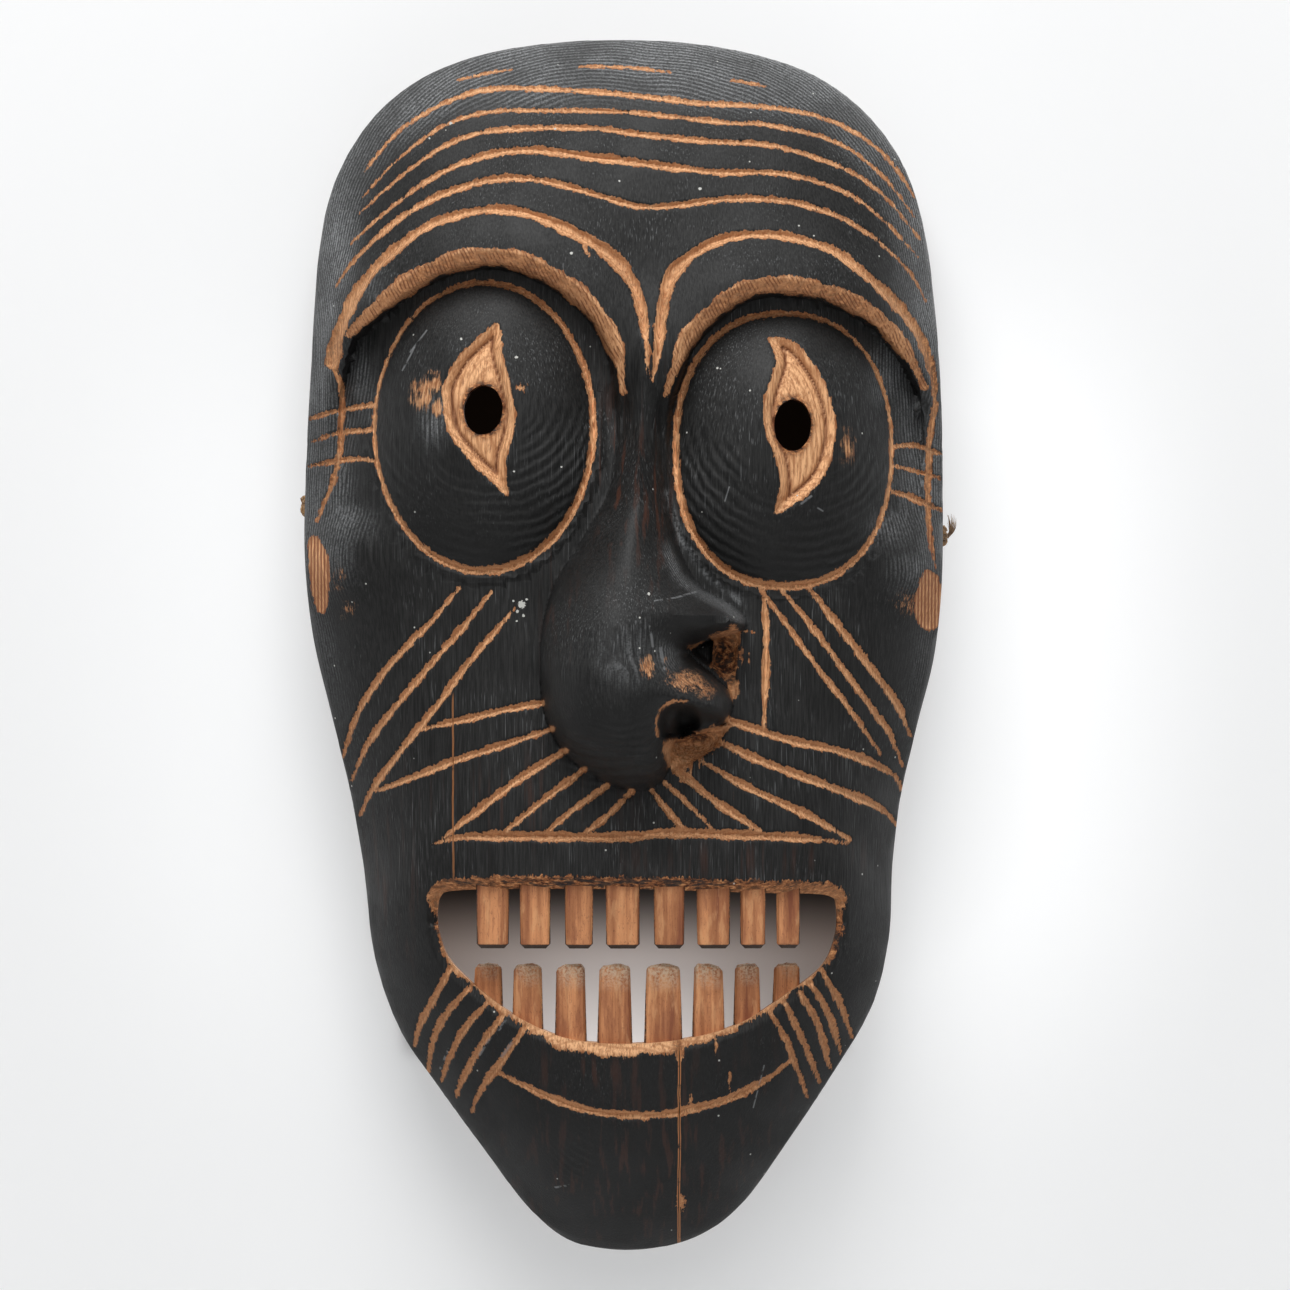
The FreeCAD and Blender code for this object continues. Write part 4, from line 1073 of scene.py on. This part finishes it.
def shell_marks(mesh):
    """Everything the shell's material has to know about each place, as named numbers."""
    place = coordinates(mesh) / MM
    x, h, d = place[:, 0], place[:, 2] - shell_low.z / MM, -place[:, 1]
    lip = RAGGED * (lip_width(x, h) - mouth_gap(x, h))
    patch = patch_amount(x, h)
    patch = np.where(np.abs(x) < LEVEL_PATCHES, RAGGED * patch, patch)
    brow = chamfer_amount(x, h)
    raw = np.maximum.reduce([cut_amount(x, h), brow, leaf_amount(x, h), patch, lip])
    raw = np.where(d < SIDE_DEPTH - 2, np.minimum(raw, -3.0), raw)
    # Painted shade: the first nostril pit is kept black inside rather than raw.
    raw = np.where(pit_reach(x, h, NOSTRIL_PITS[0][2]) > 0.4, -3.0, raw)
    corners = numbers(mesh.loops, "vertex_index")
    kind = np.repeat(numbers(mesh.polygons, "material_index"), numbers(mesh.polygons, "loop_total"))
    mark(mesh, "cut", np.where(kind == 2, 5.0, raw[corners]))
    mark(mesh, "inside", np.where(kind == 1, 1.0, 0.0))
    mark(mesh, "dust_and_highlight", dust_and_highlight_share(x, h)[corners])
    mark(mesh, "rub", sum_of(RUBBED, x, h)[corners])
    mark(mesh, "red", sum_of(REDDISH, x, h)[corners])
    aged_and_shaded = sum_of(AGED_AND_SHADED_SPOTS, x, h)
    for middle_x, middle_h, half_x, half_h in EYE_HOLES:
        away = np.hypot((x - middle_x) / half_x, (h - middle_h) / half_h)
        aged_and_shaded = np.maximum(aged_and_shaded, 0.9 * smooth_step(1.35, 1.0, away))
    mark(mesh, "aged_and_shaded", aged_and_shaded[corners])
    mark(mesh, "pared", smooth_step(-0.5, 0.6, brow)[corners])
    run, share = np.zeros(x.shape), np.zeros(x.shape)
    for eye in EYES:
        reach, upward, _ = eye_reach(x, h, eye)
        below = smooth_step(0.45, -0.35, upward) * smooth_step(0.30, 0.5, reach) * (reach < 1.1)
        run = np.where(reach < 1.1, np.hypot(x - eye[0] - 4, h - eye[1] - 10) / RIPPLE_GAP, run)
        share = np.maximum(share, below)
    below = swelling(x, h, *NOSE_RIPPLES) * (h < NOSE_RIPPLE_TOP)
    run = np.where(below > 0.05, np.hypot(x + 2, h - 196) / RIPPLE_GAP * 1.2, run)
    mark(mesh, "ripple_run", run[corners])
    mark(mesh, "ripple", np.where(kind == 0, np.maximum(share, below)[corners], 0.0))
    # The crease at the foot of each leaf bevel, for a painted shade line and a sunk line in the relief.
    crease = np.exp(-((leaf_amount(x, h) - LEAF_BEVEL) / 0.5) ** 2)
    mark(mesh, "crease", crease[corners])


RING_GAP = 0.0013
PITH_AHEAD = 0.320  # the tree's pith stood in front of the face, so rings arch over every bulge
PITH_ASIDE = -0.005
CHAR_DARK = (0.0036, 0.0036, 0.0035, 1)
CHAR_GREY = (0.0190, 0.0187, 0.0182, 1)
CHALK = (0.255, 0.262, 0.268, 1)
TAN = (0.82, 0.46, 0.235, 1)
TAN_DEEP = (0.38, 0.165, 0.068, 1)
AGED_DARK = (0.040, 0.014, 0.007, 1)
AGED_TAN = (0.25, 0.090, 0.032, 1)
AGED_LIGHT = (0.56, 0.26, 0.105, 1)
HEARTWOOD = (0.135, 0.040, 0.016, 1)
BAND_RED = (0.20, 0.055, 0.020, 1)
BAND_GAP = 0.00115
CRACK_LIGHT = (0.42, 0.17, 0.06, 1)
CRACKS = [  # x, lower and upper end, half width of the raw edge, all in metres
    (0.0181, -0.384, -0.3135, 0.00027), (-0.0559, -0.262, -0.199, 0.00014),
]
HOLLOW_DARK = (0.085, 0.040, 0.018, 1)
HOLLOW_LIGHT = (0.24, 0.125, 0.058, 1)
HOLLOW_RING = (0.07, 0.03, 0.014, 1)
RAW_ROUGHNESS = (0.74, 0.74, 0.74, 1)
RED_BROWN = (0.075, 0.026, 0.014, 1)
PALE_SPECK = (0.50, 0.50, 0.47, 1)


def growth_rings(add, place):
    """A stripe that peaks once in each growth ring."""
    axes = add("SeparateXYZ", {0: place}).outputs
    across = maths(add, "SUBTRACT", axes[0], PITH_ASIDE)
    ahead = maths(add, "ADD", axes[1], PITH_AHEAD)
    radius = maths(add, "SQRT", maths(add, "ADD", times(add, across, across), times(add, ahead, ahead)))
    lean = times_plus(add, axes[2], 0.012, radius)
    sway = times_plus(add, noise(add, place, 16.0, 2.0), 0.009, lean)
    sway = times_plus(add, noise(add, place, 110.0, 2.0), 0.0009, sway)
    ring = times(add, sway, 1 / RING_GAP)
    return times_plus(add, maths(add, "SINE", times(add, ring, 2 * math.pi)), 0.5, 0.5)


def raw_wood(add, place, stripe):
    """Freshly cut softwood: tan, with deeper latewood lines and fine upright fibres."""
    fibre = noise(add, stretched(add, (1.0, 1.0, 0.10)), 1500.0, 4.0, 0.65)
    patch = noise(add, stretched(add, (1.0, 1.0, 0.25)), 160.0, 3.0)
    tears = noise(add, stretched(add, (1.0, 1.0, 0.14)), 1700.0, 3.0, 0.6)
    colour = blend(add, ramp(add, fibre, 0.30, 0.62), TAN_DEEP, TAN)
    colour = stain(add, ramp(add, tears, 0.56, 0.66), 0.55, colour, HEARTWOOD)
    colour = stain(add, ramp(add, stripe, 0.72, 0.98), 0.55, colour, TAN_DEEP)
    return stain(add, ramp(add, patch, 0.60, 0.80), 0.55, colour, HEARTWOOD), fibre


def shell_material():
    """Blackened softwood with grey powder in its grain and raw wood wherever it is cut or rubbed, with
    painted shade on undersides and in creases and painted highlight on some tops.
    """
    material, shader, add, join = nodes_of("blackened_softwood")
    place = object_place(add)

    stripe = growth_rings(add, place)
    fibre = noise(add, stretched(add, (1.0, 1.0, 0.045)), 2000.0, 3.0, 0.6)
    blotch = noise(add, place, 42.0, 4.0, 0.6)
    fine = noise(add, place, 1500.0, 2.0, 0.6)
    coarse = noise(add, place, 300.0, 3.0, 0.6)

    char = blend(add, ramp(add, fibre, 0.34, 0.68), CHAR_DARK, CHAR_GREY)
    hair = noise(add, stretched(add, (1.0, 1.0, 0.03)), 2500.0, 2.0, 0.5)
    scratch = times(add, ramp(add, hair, 0.60, 0.70), ramp(add, blotch, 0.42, 0.62, 0.0, 0.30))
    char = blend(add, scratch, char, CHALK)
    thick = ramp(add, layer(add, "dust_and_highlight"), 0.22, 0.55, 0.10, 1.0)
    striped = times(add, ramp(add, stripe, 0.30, 0.95), thick)
    striped = times_plus(add, striped, 0.70, 0.16)
    striped = times_plus(add, ramp(add, hair, 0.45, 0.66), 0.45, striped)
    # Chalky grey in the grain: dust, and painted highlight where the marks put it.
    chalk_and_highlight = times(add, layer(add, "dust_and_highlight"), striped)
    chalk_and_highlight = times(add, chalk_and_highlight, ramp(add, blotch, 0.30, 0.66, 0.45, 1.0))
    chalk_and_highlight = times(add, chalk_and_highlight, ramp(add, fine, 0.34, 0.60, 0.40, 1.15))
    char = stain(add, chalk_and_highlight, 0.80, char, CHALK)
    facing = add("SeparateXYZ", {0: add("NewGeometry").outputs["Normal"]}).outputs[2]
    # Painted shade: black surfaces that face downwards are painted darker still.
    char = blend(add, ramp(add, facing, 0.12, -0.45, 0.0, 0.86), char, CHAR_DARK)
    red_streak = noise(add, stretched(add, (1.0, 0.3, 0.04)), 420.0, 3.0, 0.6)
    red = times(add, layer(add, "red"), ramp(add, red_streak, 0.53, 0.66))
    char = blend(add, red, char, RED_BROWN)

    specks = add("TexVoronoi", {"Vector": place, "Scale": 190.0})
    chosen = maths(add, "GREATER_THAN", add("SeparateColor", {0: specks.outputs["Color"]}).outputs[0], 0.80)
    dot = ramp(add, specks.outputs["Distance"], 0.075, 0.045)
    char = stain(add, dot, chosen, char, PALE_SPECK)

    wood, grain = raw_wood(add, place, stripe)
    deep = layer(add, "cut")
    splinter = noise(add, stretched(add, (1.0, 1.0, 0.22)), 1100.0, 3.0, 0.6)
    ticks = times_plus(add, ramp(add, splinter, 0.44, 0.62), 0.65, 0.25)
    wood = stain(add, ramp(add, deep, 0.85, 0.10), ticks, wood, AGED_TAN)
    # Painted shade: raw cut faces that face downwards are painted browner.
    wood = stain(add, ramp(add, facing, 0.02, -0.45), 0.65, wood, TAN_DEEP)
    # Old darker wood where marked; under the brows this is painted shade.
    aged_and_shaded = times(add, layer(add, "aged_and_shaded"), ramp(add, coarse, 0.25, 0.5, 0.75, 1.1))
    mottle = noise(add, stretched(add, (0.55, 1.0, 0.8)), 780.0, 4.0, 0.7)
    old = blend(add, ramp(add, mottle, 0.42, 0.50), AGED_DARK, AGED_TAN)
    old = blend(add, ramp(add, mottle, 0.53, 0.62), old, AGED_LIGHT)
    wood = blend(add, aged_and_shaded, wood, old)
    scorch = noise(add, stretched(add, (0.3, 1.0, 1.0)), 620.0, 3.0, 0.6)
    scorch = times_plus(add, layer(add, "aged_and_shaded"), 0.5, scorch)
    wood = blend(add, ramp(add, scorch, 0.93, 1.04, 0.0, 0.85), wood, CHAR_GREY)
    # Painted shade: a dark line along the foot of each leaf bevel, in the crease.
    wood = stain(add, layer(add, "crease"), 0.92, wood, HEARTWOOD)
    axes = add("SeparateXYZ", {0: place}).outputs
    slant = times_plus(add, axes[2], 0.5, axes[0])
    slant = times_plus(add, blotch, 0.004, slant)
    tick = maths(add, "SINE", times(add, slant, 2 * math.pi / TICK_GAP))
    tick = times(add, ramp(add, tick, 0.1, 0.7), ramp(add, coarse, 0.42, 0.55))
    wood = stain(add, times(add, tick, layer(add, "pared")), 0.75, wood, HEARTWOOD)
    outer = ramp(add, maths(add, "ABSOLUTE", axes[0]), 0.0935, 0.0945)
    cheek = times(add, ramp(add, axes[2], -0.190, -0.186), ramp(add, axes[2], -0.142, -0.146))
    band = maths(add, "SINE", times(add, axes[0], 2 * math.pi / BAND_GAP))
    band = times(add, ramp(add, band, -0.3, 0.7), times(add, outer, cheek))
    wood = stain(add, band, 0.85, wood, BAND_RED)
    ragged = times_plus(add, maths(add, "SUBTRACT", splinter, 0.5), 2.2, deep)
    ragged = times_plus(add, maths(add, "SUBTRACT", coarse, 0.5), 1.7, ragged)
    rawness = ramp(add, ragged, -0.10, 0.10)
    rubbed = times_plus(add, fibre, 0.85, layer(add, "rub"))
    rubbed = times_plus(add, coarse, 0.60, rubbed)
    rawness = maths(add, "MAXIMUM", rawness, ramp(add, rubbed, 1.26, 1.50, 0.0, 0.92))
    colour = blend(add, rawness, char, wood)
    bend = noise(add, stretched(add, (0.0, 0.0, 1.0)), 45.0, 3.0)
    for aside, low, high, half_width in CRACKS:
        line = times_plus(add, bend, -0.0016, maths(add, "SUBTRACT", axes[0], aside - 0.0008))
        gap = maths(add, "ABSOLUTE", line)
        length = times(add, ramp(add, axes[2], low, low + 0.004), ramp(add, axes[2], high, high - 0.004))
        length = times(add, length, maths(add, "LESS_THAN", axes[1], -0.03))
        edge = ramp(add, gap, half_width * 2.2, half_width * 1.2)
        edge = times(add, edge, ramp(add, coarse, 0.26, 0.42))
        colour = stain(add, edge, length, colour, CRACK_LIGHT)
        colour = stain(add, ramp(add, gap, half_width * 0.8, half_width * 0.4), length, colour, CHAR_DARK)
    flat = add("VectorMath", {0: place, 1: (1, 0, 1)}, operation="MULTIPLY").outputs[0]
    grit = times_plus(add, fine, 1.6, 0.2)
    for x_start, h_start, x_end, h_end, half_width in SCRATCHES:
        start = Vector((x_start * MM, 0, shell_low.z + h_start * MM))
        run = Vector((x_end * MM, 0, shell_low.z + h_end * MM)) - start
        offset = add("VectorMath", {0: flat, 1: start}, operation="SUBTRACT").outputs[0]
        reach = add("VectorMath", {0: offset, 1: run / run.length_squared}, operation="DOT_PRODUCT")
        reach = add("Clamp", {0: reach.outputs["Value"]}).outputs[0]
        nearest = add("VectorMath", {0: run, 3: reach}, operation="SCALE").outputs[0]
        away = add("VectorMath", {0: offset, 1: nearest}, operation="DISTANCE").outputs["Value"]
        worn = ramp(add, away, half_width * MM * 1.6, half_width * MM * 0.4, 0.0, 0.5)
        colour = stain(add, worn, ramp(add, coarse, 0.40, 0.52), colour, CHALK)
    for aside, height, radius in PAINT_FLECKS:
        middle = (aside * MM, 0, shell_low.z + height * MM)
        away = add("VectorMath", {0: flat, 1: middle}, operation="DISTANCE").outputs["Value"]
        flecked = maths(add, "LESS_THAN", away, times(add, grit, radius * MM))
        colour = blend(add, flecked, colour, PALE_SPECK)

    hollow = blend(add, ramp(add, grain, 0.3, 0.7), HOLLOW_DARK, HOLLOW_LIGHT)
    hollow = stain(add, ramp(add, stripe, 0.55, 0.95), 0.5, hollow, HOLLOW_RING)
    colour = blend(add, layer(add, "inside"), colour, hollow)
    join(colour, "Base Color")

    rough = ramp(add, blotch, 0.3, 0.7, 0.50, 0.68)
    join(blend(add, rawness, rough, RAW_ROUGHNESS), "Roughness")
    shader.inputs["Specular IOR Level"].default_value = 0.28

    ripple = times_plus(add, blotch, 2.4, layer(add, "ripple_run"))
    ripple = maths(add, "SINE", times(add, ripple, 2 * math.pi))
    ripple = times(add, ripple, layer(add, "ripple"))
    height = times_plus(add, ripple, 0.8, times(add, fibre, 0.7))
    height = times_plus(add, times(add, layer(add, "crease"), coarse), -2.0, height)
    height = times_plus(add, times(add, stripe, thick), 0.22, height)
    height = times_plus(add, times(add, splinter, rawness), 0.9, height)
    rough_bump(add, join, 0.7, height)
    return material


mask_mesh = shell_mesh()
mask_mesh = cut_away(mask_mesh, "openings", openings)
mask_mesh = cut_away(mask_mesh, "sockets", sockets)
mask_mesh.name = "mask_shell_carved"
shell_marks(mask_mesh)
mask_mesh.materials.clear()
mask_mesh.materials.append(shell_material())
mask_mesh.polygons.foreach_set("material_index", np.zeros(len(mask_mesh.polygons), int))
mask_mesh.polygons.foreach_set("use_smooth", np.ones(len(mask_mesh.polygons), bool))
mask_mesh.set_sharp_from_angle(angle=math.radians(50))
mask_shell = linked("mask_shell_carved", mask_mesh)
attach(mask_shell, "root")
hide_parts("mask_shell")


# ---------------------------------------------------------------------------------------------
# Teeth: sixteen square pegs split from the same softwood, left raw and driven into mortises in the
# lips. The upper ones are pared to a bevelled end; the lower ones were snapped off short.
TOOTH_EDGE = 0.0009
TOOTH_TAPER = 0.07
ROOT_FLARE = 0.09
UPPER_BEVEL = 1.7  # width of the bevel at the free end, in tooth edges
LOWER_BEVEL = 1.6
PEG_TAN = (0.61, 0.262, 0.108, 1)
PEG_BROWN = (0.34, 0.125, 0.046, 1)
PEG_RED = (0.19, 0.050, 0.020, 1)
PEG_TORN = (0.62, 0.47, 0.33, 1)
PEG_SHADE = (0.035, 0.020, 0.013, 1)
PEG_PALE = (0.72, 0.385, 0.178, 1)
teeth_random = np.random.default_rng(5)


def tooth_material():
    """Raw wood with dark resin streaks, painted shade on the side edges and bevels, and pale torn ends."""
    material, shader, add, join = nodes_of("raw_softwood")
    place = object_place(add)
    grain = noise(add, stretched(add, (1.0, 1.0, 0.10)), 1500.0, 4.0, 0.65)
    streak = noise(add, stretched(add, (1.0, 1.0, 0.05)), 330.0, 3.0, 0.6)
    wood = blend(add, ramp(add, streak, 0.32, 0.60), PEG_TAN, PEG_BROWN)
    wood = stain(add, ramp(add, streak, 0.58, 0.68), 0.75, wood, PEG_RED)
    wood = stain(add, ramp(add, grain, 0.45, 0.75), 0.4, wood, PEG_RED)
    pores = noise(add, stretched(add, (1.0, 1.0, 0.4)), 2600.0, 2.0)
    wood = stain(add, ramp(add, pores, 0.60, 0.70), 0.5, wood, HEARTWOOD)
    blots = noise(add, stretched(add, (1.0, 1.0, 0.22)), 300.0, 4.0, 0.65)
    wood = stain(add, ramp(add, blots, 0.52, 0.64), 0.42, wood, PEG_RED)
    wood = stain(add, ramp(add, blots, 0.47, 0.36), 0.35, wood, PEG_PALE)
    ends, edge_shade = layer(add, "torn_end"), layer(add, "bevel_shade")
    torn = noise(add, place, 1300.0, 3.0, 0.7)
    wood = stain(add, ends, ramp(add, torn, 0.35, 0.6), wood, PEG_TORN)
    # Painted shade on the edges and bevels, broken up by the torn noise.
    colour = blend(add, ramp(add, times_plus(add, torn, 0.5, edge_shade), 0.70, 0.95), wood, PEG_SHADE)
    join(colour, "Base Color")
    shader.inputs["Roughness"].default_value = 0.72
    height = maths(add, "ADD", grain, times(add, times(add, torn, ends), 3.0))
    rough_bump(add, join, 0.7, height)
    return material


def tooth(node, finish):
    """One peg that fills its node's box, with its free end shaped by hand."""
    low, high = (Vector(corner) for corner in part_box(node))
    upper = node.startswith("upper")
    size = high - low
    bm = bmesh.new()
    verts = bmesh.ops.create_cube(bm, size=1.0)["verts"]
    bmesh.ops.scale(bm, verts=verts, vec=size)
    upright = [edge for edge in bm.edges if abs((edge.verts[0].co - edge.verts[1].co).z) > size.z / 2]
    bevel = dict(offset_type="OFFSET", affect="EDGES", profile=0.5, material=-1)
    bmesh.ops.bevel(bm, geom=upright, offset=TOOTH_EDGE, segments=1, **bevel)
    free = -1 if upper else 1
    rim = [edge for edge in bm.edges if all(free * vert.co.z > size.z * 0.49 for vert in edge.verts)]
    offset = TOOTH_EDGE * (UPPER_BEVEL if upper else LOWER_BEVEL)
    bmesh.ops.bevel(bm, geom=rim, offset=offset, segments=1 if upper else 3, **bevel)
    bmesh.ops.triangulate(bm, faces=[face for face in bm.faces if len(face.verts) > 4])
    bmesh.ops.subdivide_edges(bm, edges=bm.edges, cuts=3, use_grid_fill=True)
    lean, tilt = teeth_random.normal(0, (0.012, 0.07))
    waves = teeth_random.uniform(0, 2 * math.pi, 6)
    for vert in bm.verts:
        share = 0.5 + free * vert.co.z / size.z  # 0 at the hidden tenon, 1 at the free end
        slim = 1 - TOOTH_TAPER * share * (0.35 if upper else 1.0) + (0 if upper else ROOT_FLARE * (1 - share))
        wobble = 0.014 * math.sin(520 * vert.co.z + waves[0]) + 0.01 * math.sin(1100 * vert.co.z + waves[1])
        vert.co.x = (vert.co.x + lean * share * size.x) * (slim - abs(wobble) * share)
        vert.co.y *= slim - 0.5 * abs(wobble) * share
        if not upper:
            worn_off = smooth_step(0.80, 1.0, share) * abs(vert.co.x / size.x * 2) ** 3
            vert.co.z -= 0.0014 * worn_off + tilt * vert.co.x * smooth_step(0.7, 1.0, share)
        if not upper and share > 0.97:
            torn = math.sin(2300 * vert.co.x + waves[2]) + math.sin(3100 * vert.co.y + waves[3])
            vert.co.z -= 0.0004 * (1 + 0.5 * torn)
    bmesh.ops.translate(bm, verts=bm.verts, vec=(low + high) / 2)
    bmesh.ops.recalc_face_normals(bm, faces=bm.faces)
    mesh = mesh_from(bm, node + "_peg")
    corners = numbers(mesh.loops, "vertex_index")
    place = coordinates(mesh)
    share = 0.5 + free * (place[:, 2] - (low.z + high.z) / 2) / size.z
    side = np.abs(place[:, 0] - (low.x + high.x) / 2) / size.x * 2
    torn = smooth_step(0.90, 0.965, share) * (0.0 if upper else 1.0)
    # Painted shade: the side edges of every tooth and the lower bevel of the upper ones are darkened.
    bevel_shade = (smooth_step(0.93, 0.975, share) if upper else 0.0 * share) + 0.62 * smooth_step(0.86, 0.95, side)
    mark(mesh, "torn_end", torn[corners])
    mark(mesh, "bevel_shade", bevel_shade[corners])
    mesh.polygons.foreach_set("use_smooth", np.ones(len(mesh.polygons), bool))
    mesh.set_sharp_from_angle(angle=math.radians(40))
    mesh.materials.append(finish)
    piece = linked(node + "_peg", mesh)
    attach(piece, "root")
    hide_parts(node)


raw_softwood = tooth_material()
for tooth_name in TEETH:
    tooth(tooth_name, raw_softwood)


# ---------------------------------------------------------------------------------------------
# Stage: a pale wall just behind the rim that also glows a little, with a painted glow round the mask
# and painted shadow behind its face, a pale floor below it and soft light from above.
WALL_Y = 0.003
FLOOR_Z = -1.2
STAGE_SIZE = 6.0
WORLD_LIGHT = 0.22
WORLD_SEEN = 0.86
PALE = (0.91, 0.915, 0.92, 1)
BLACK = (0, 0, 0, 1)
WHITE = (0.93, 0.935, 0.94, 1)
SHADE = (0.035, 0.033, 0.032, 1)
# Darker wall paint for the painted shadow behind the face.
SHADOWED_WALL_PAINT = (0.61, 0.613, 0.616, 1)
WALL_GLOW = 0.30
STAGE_ROUGHNESS = 0.95
PAINTED_GLOW_COLOUR = (1.55, 1.56, 1.57, 1)
SPREAD = (9.5, 0, 5.0)  # makes the mask's outline about a circle of radius 1
SPREAD_MIDDLE = (0, 0, -0.92)


def stage_material(name, see_through_back):
    """Matt pale paint; the wall has a painted glow round the mask and painted shadow behind its eyes and the
    top of the mouth, and is clear from behind.
    """
    material, shader, add, join = nodes_of(name)
    tone = noise(add, object_place(add), 3.0, 2.0)
    paint = blend(add, tone, PALE, WHITE)
    if see_through_back:
        place = object_place(add)
        axes = add("SeparateXYZ", {0: place}).outputs
        aside = maths(add, "ABSOLUTE", axes[0])
        # Painted shadow: behind the face the wall gets darker paint and no glow, so the eye holes look dark.
        painted_shadow_behind_face = times(add, ramp(add, aside, 0.078, 0.070), ramp(add, axes[2], -0.02, -0.05))
        painted_shadow_behind_face = times(add, painted_shadow_behind_face, ramp(add, axes[2], -0.325, -0.315))
        paint = blend(add, painted_shadow_behind_face, SHADOWED_WALL_PAINT, paint)
        # Painted glow: the wall emits more light close round the mask, lifting the shadow the mask casts on
        # it.
        spread = add("VectorMath", {0: place, 1: SPREAD}, operation="MULTIPLY").outputs[0]
        away = add("VectorMath", {0: spread, 1: SPREAD_MIDDLE}, operation="DISTANCE").outputs["Value"]
        painted_glow_share = times(add, ramp(add, away, 2.1, 1.0), ramp(add, axes[0], -0.1, 0.1, 0.55, 1.3))
        painted_glow_share = times(add, painted_glow_share, ramp(add, axes[2], -0.37, -0.25, 0.30, 1.0))
        painted_glow_share = times(add, painted_glow_share, ramp(add, axes[2], -0.14, -0.03, 1.0, 0.25))
        glow = blend(add, painted_glow_share, WHITE, PAINTED_GLOW_COLOUR)
        join(blend(add, painted_shadow_behind_face, glow, BLACK), "Emission Color")
        shader.inputs["Emission Strength"].default_value = WALL_GLOW
        # Painted shadow: the wall seen through the eyes and the top of the mouth is painted near black,
        # fading out towards the bottom of the mouth.
        behind = times(add, ramp(add, aside, 0.088, 0.080), ramp(add, axes[2], -0.03, -0.05))
        behind = times(add, behind, ramp(add, axes[2], -0.290, -0.263))
        paint = blend(add, behind, paint, SHADE)
    join(paint, "Base Color")
    shader.inputs["Roughness"].default_value = STAGE_ROUGHNESS
    shader.inputs["Specular IOR Level"].default_value = 0.1
    if see_through_back:
        tree = material.node_tree
        clear = add("BsdfTransparent")
        back = add("NewGeometry").outputs["Backfacing"]
        mix = add("MixShader", {0: back, 1: shader.outputs[0], 2: clear.outputs[0]})
        output = next(node for node in tree.nodes if node.type == "OUTPUT_MATERIAL")
        tree.links.new(mix.outputs[0], output.inputs["Surface"])
    return material


def stage_plane(name, turn, place, finish):
    """One flat square of the stage."""
    bm = bmesh.new()
    bmesh.ops.create_grid(bm, x_segments=2, y_segments=2, size=STAGE_SIZE / 2)
    bmesh.ops.rotate(bm, verts=bm.verts, matrix=Matrix.Rotation(turn, 3, "X"))
    bmesh.ops.translate(bm, verts=bm.verts, vec=place)
    mesh = mesh_from(bm, name)
    mesh.materials.append(finish)
    plane = linked(name, mesh)
    plane.visible_shadow = False


def soft_light(name, place, size, power, target=(0.0, -0.05, -0.184)):
    """A square soft light aimed at the face, or at another place."""
    data = bpy.data.lights.new(name, "AREA")
    data.size = size
    data.energy = power
    light = linked(name, data)
    light.location = place
    aim = Vector(target) - Vector(place)
    light.rotation_euler = aim.to_track_quat("-Z", "Y").to_euler()
    light.visible_camera = False


wall_place = (0, WALL_Y, FLOOR_Z + STAGE_SIZE / 2)
stage_plane("back_wall", math.pi / 2, wall_place, stage_material("wall_paint", True))
stage_plane("floor", 0.0, (0, 0, FLOOR_Z), stage_material("floor_paint", False))
soft_light("key_light", (-0.15, -0.95, 1.25), 1.0, 27.0)
soft_light("front_light", (0.1, -2.5, 0.95), 1.6, 15.0)

# A small lamp low in the hollow lifts the wall seen through the mouth.
soft_light("hollow_light", (0.0, -0.034, -0.342), 0.06, 0.026, (0.0, 0.0, -0.29))

# A lamp behind the wall shows the hollow when the mask is looked at from the back.
soft_light("back_light", (0.5, 1.7, 0.7), 1.4, 22.0)

world = bpy.data.worlds.new("studio")
world.use_nodes = True
surround = world.node_tree.nodes["Background"]
surround.inputs["Color"].default_value = (1.0, 1.0, 1.0, 1)
seen = world.node_tree.nodes.new("ShaderNodeLightPath").outputs["Is Camera Ray"]
level = world.node_tree.nodes.new("ShaderNodeMapRange")
level.inputs["To Min"].default_value = WORLD_LIGHT
level.inputs["To Max"].default_value = WORLD_SEEN
world.node_tree.links.new(seen, level.inputs["Value"])
world.node_tree.links.new(level.outputs[0], surround.inputs["Strength"])
bpy.context.scene.world = world
bpy.context.scene.view_settings.view_transform = "Standard"
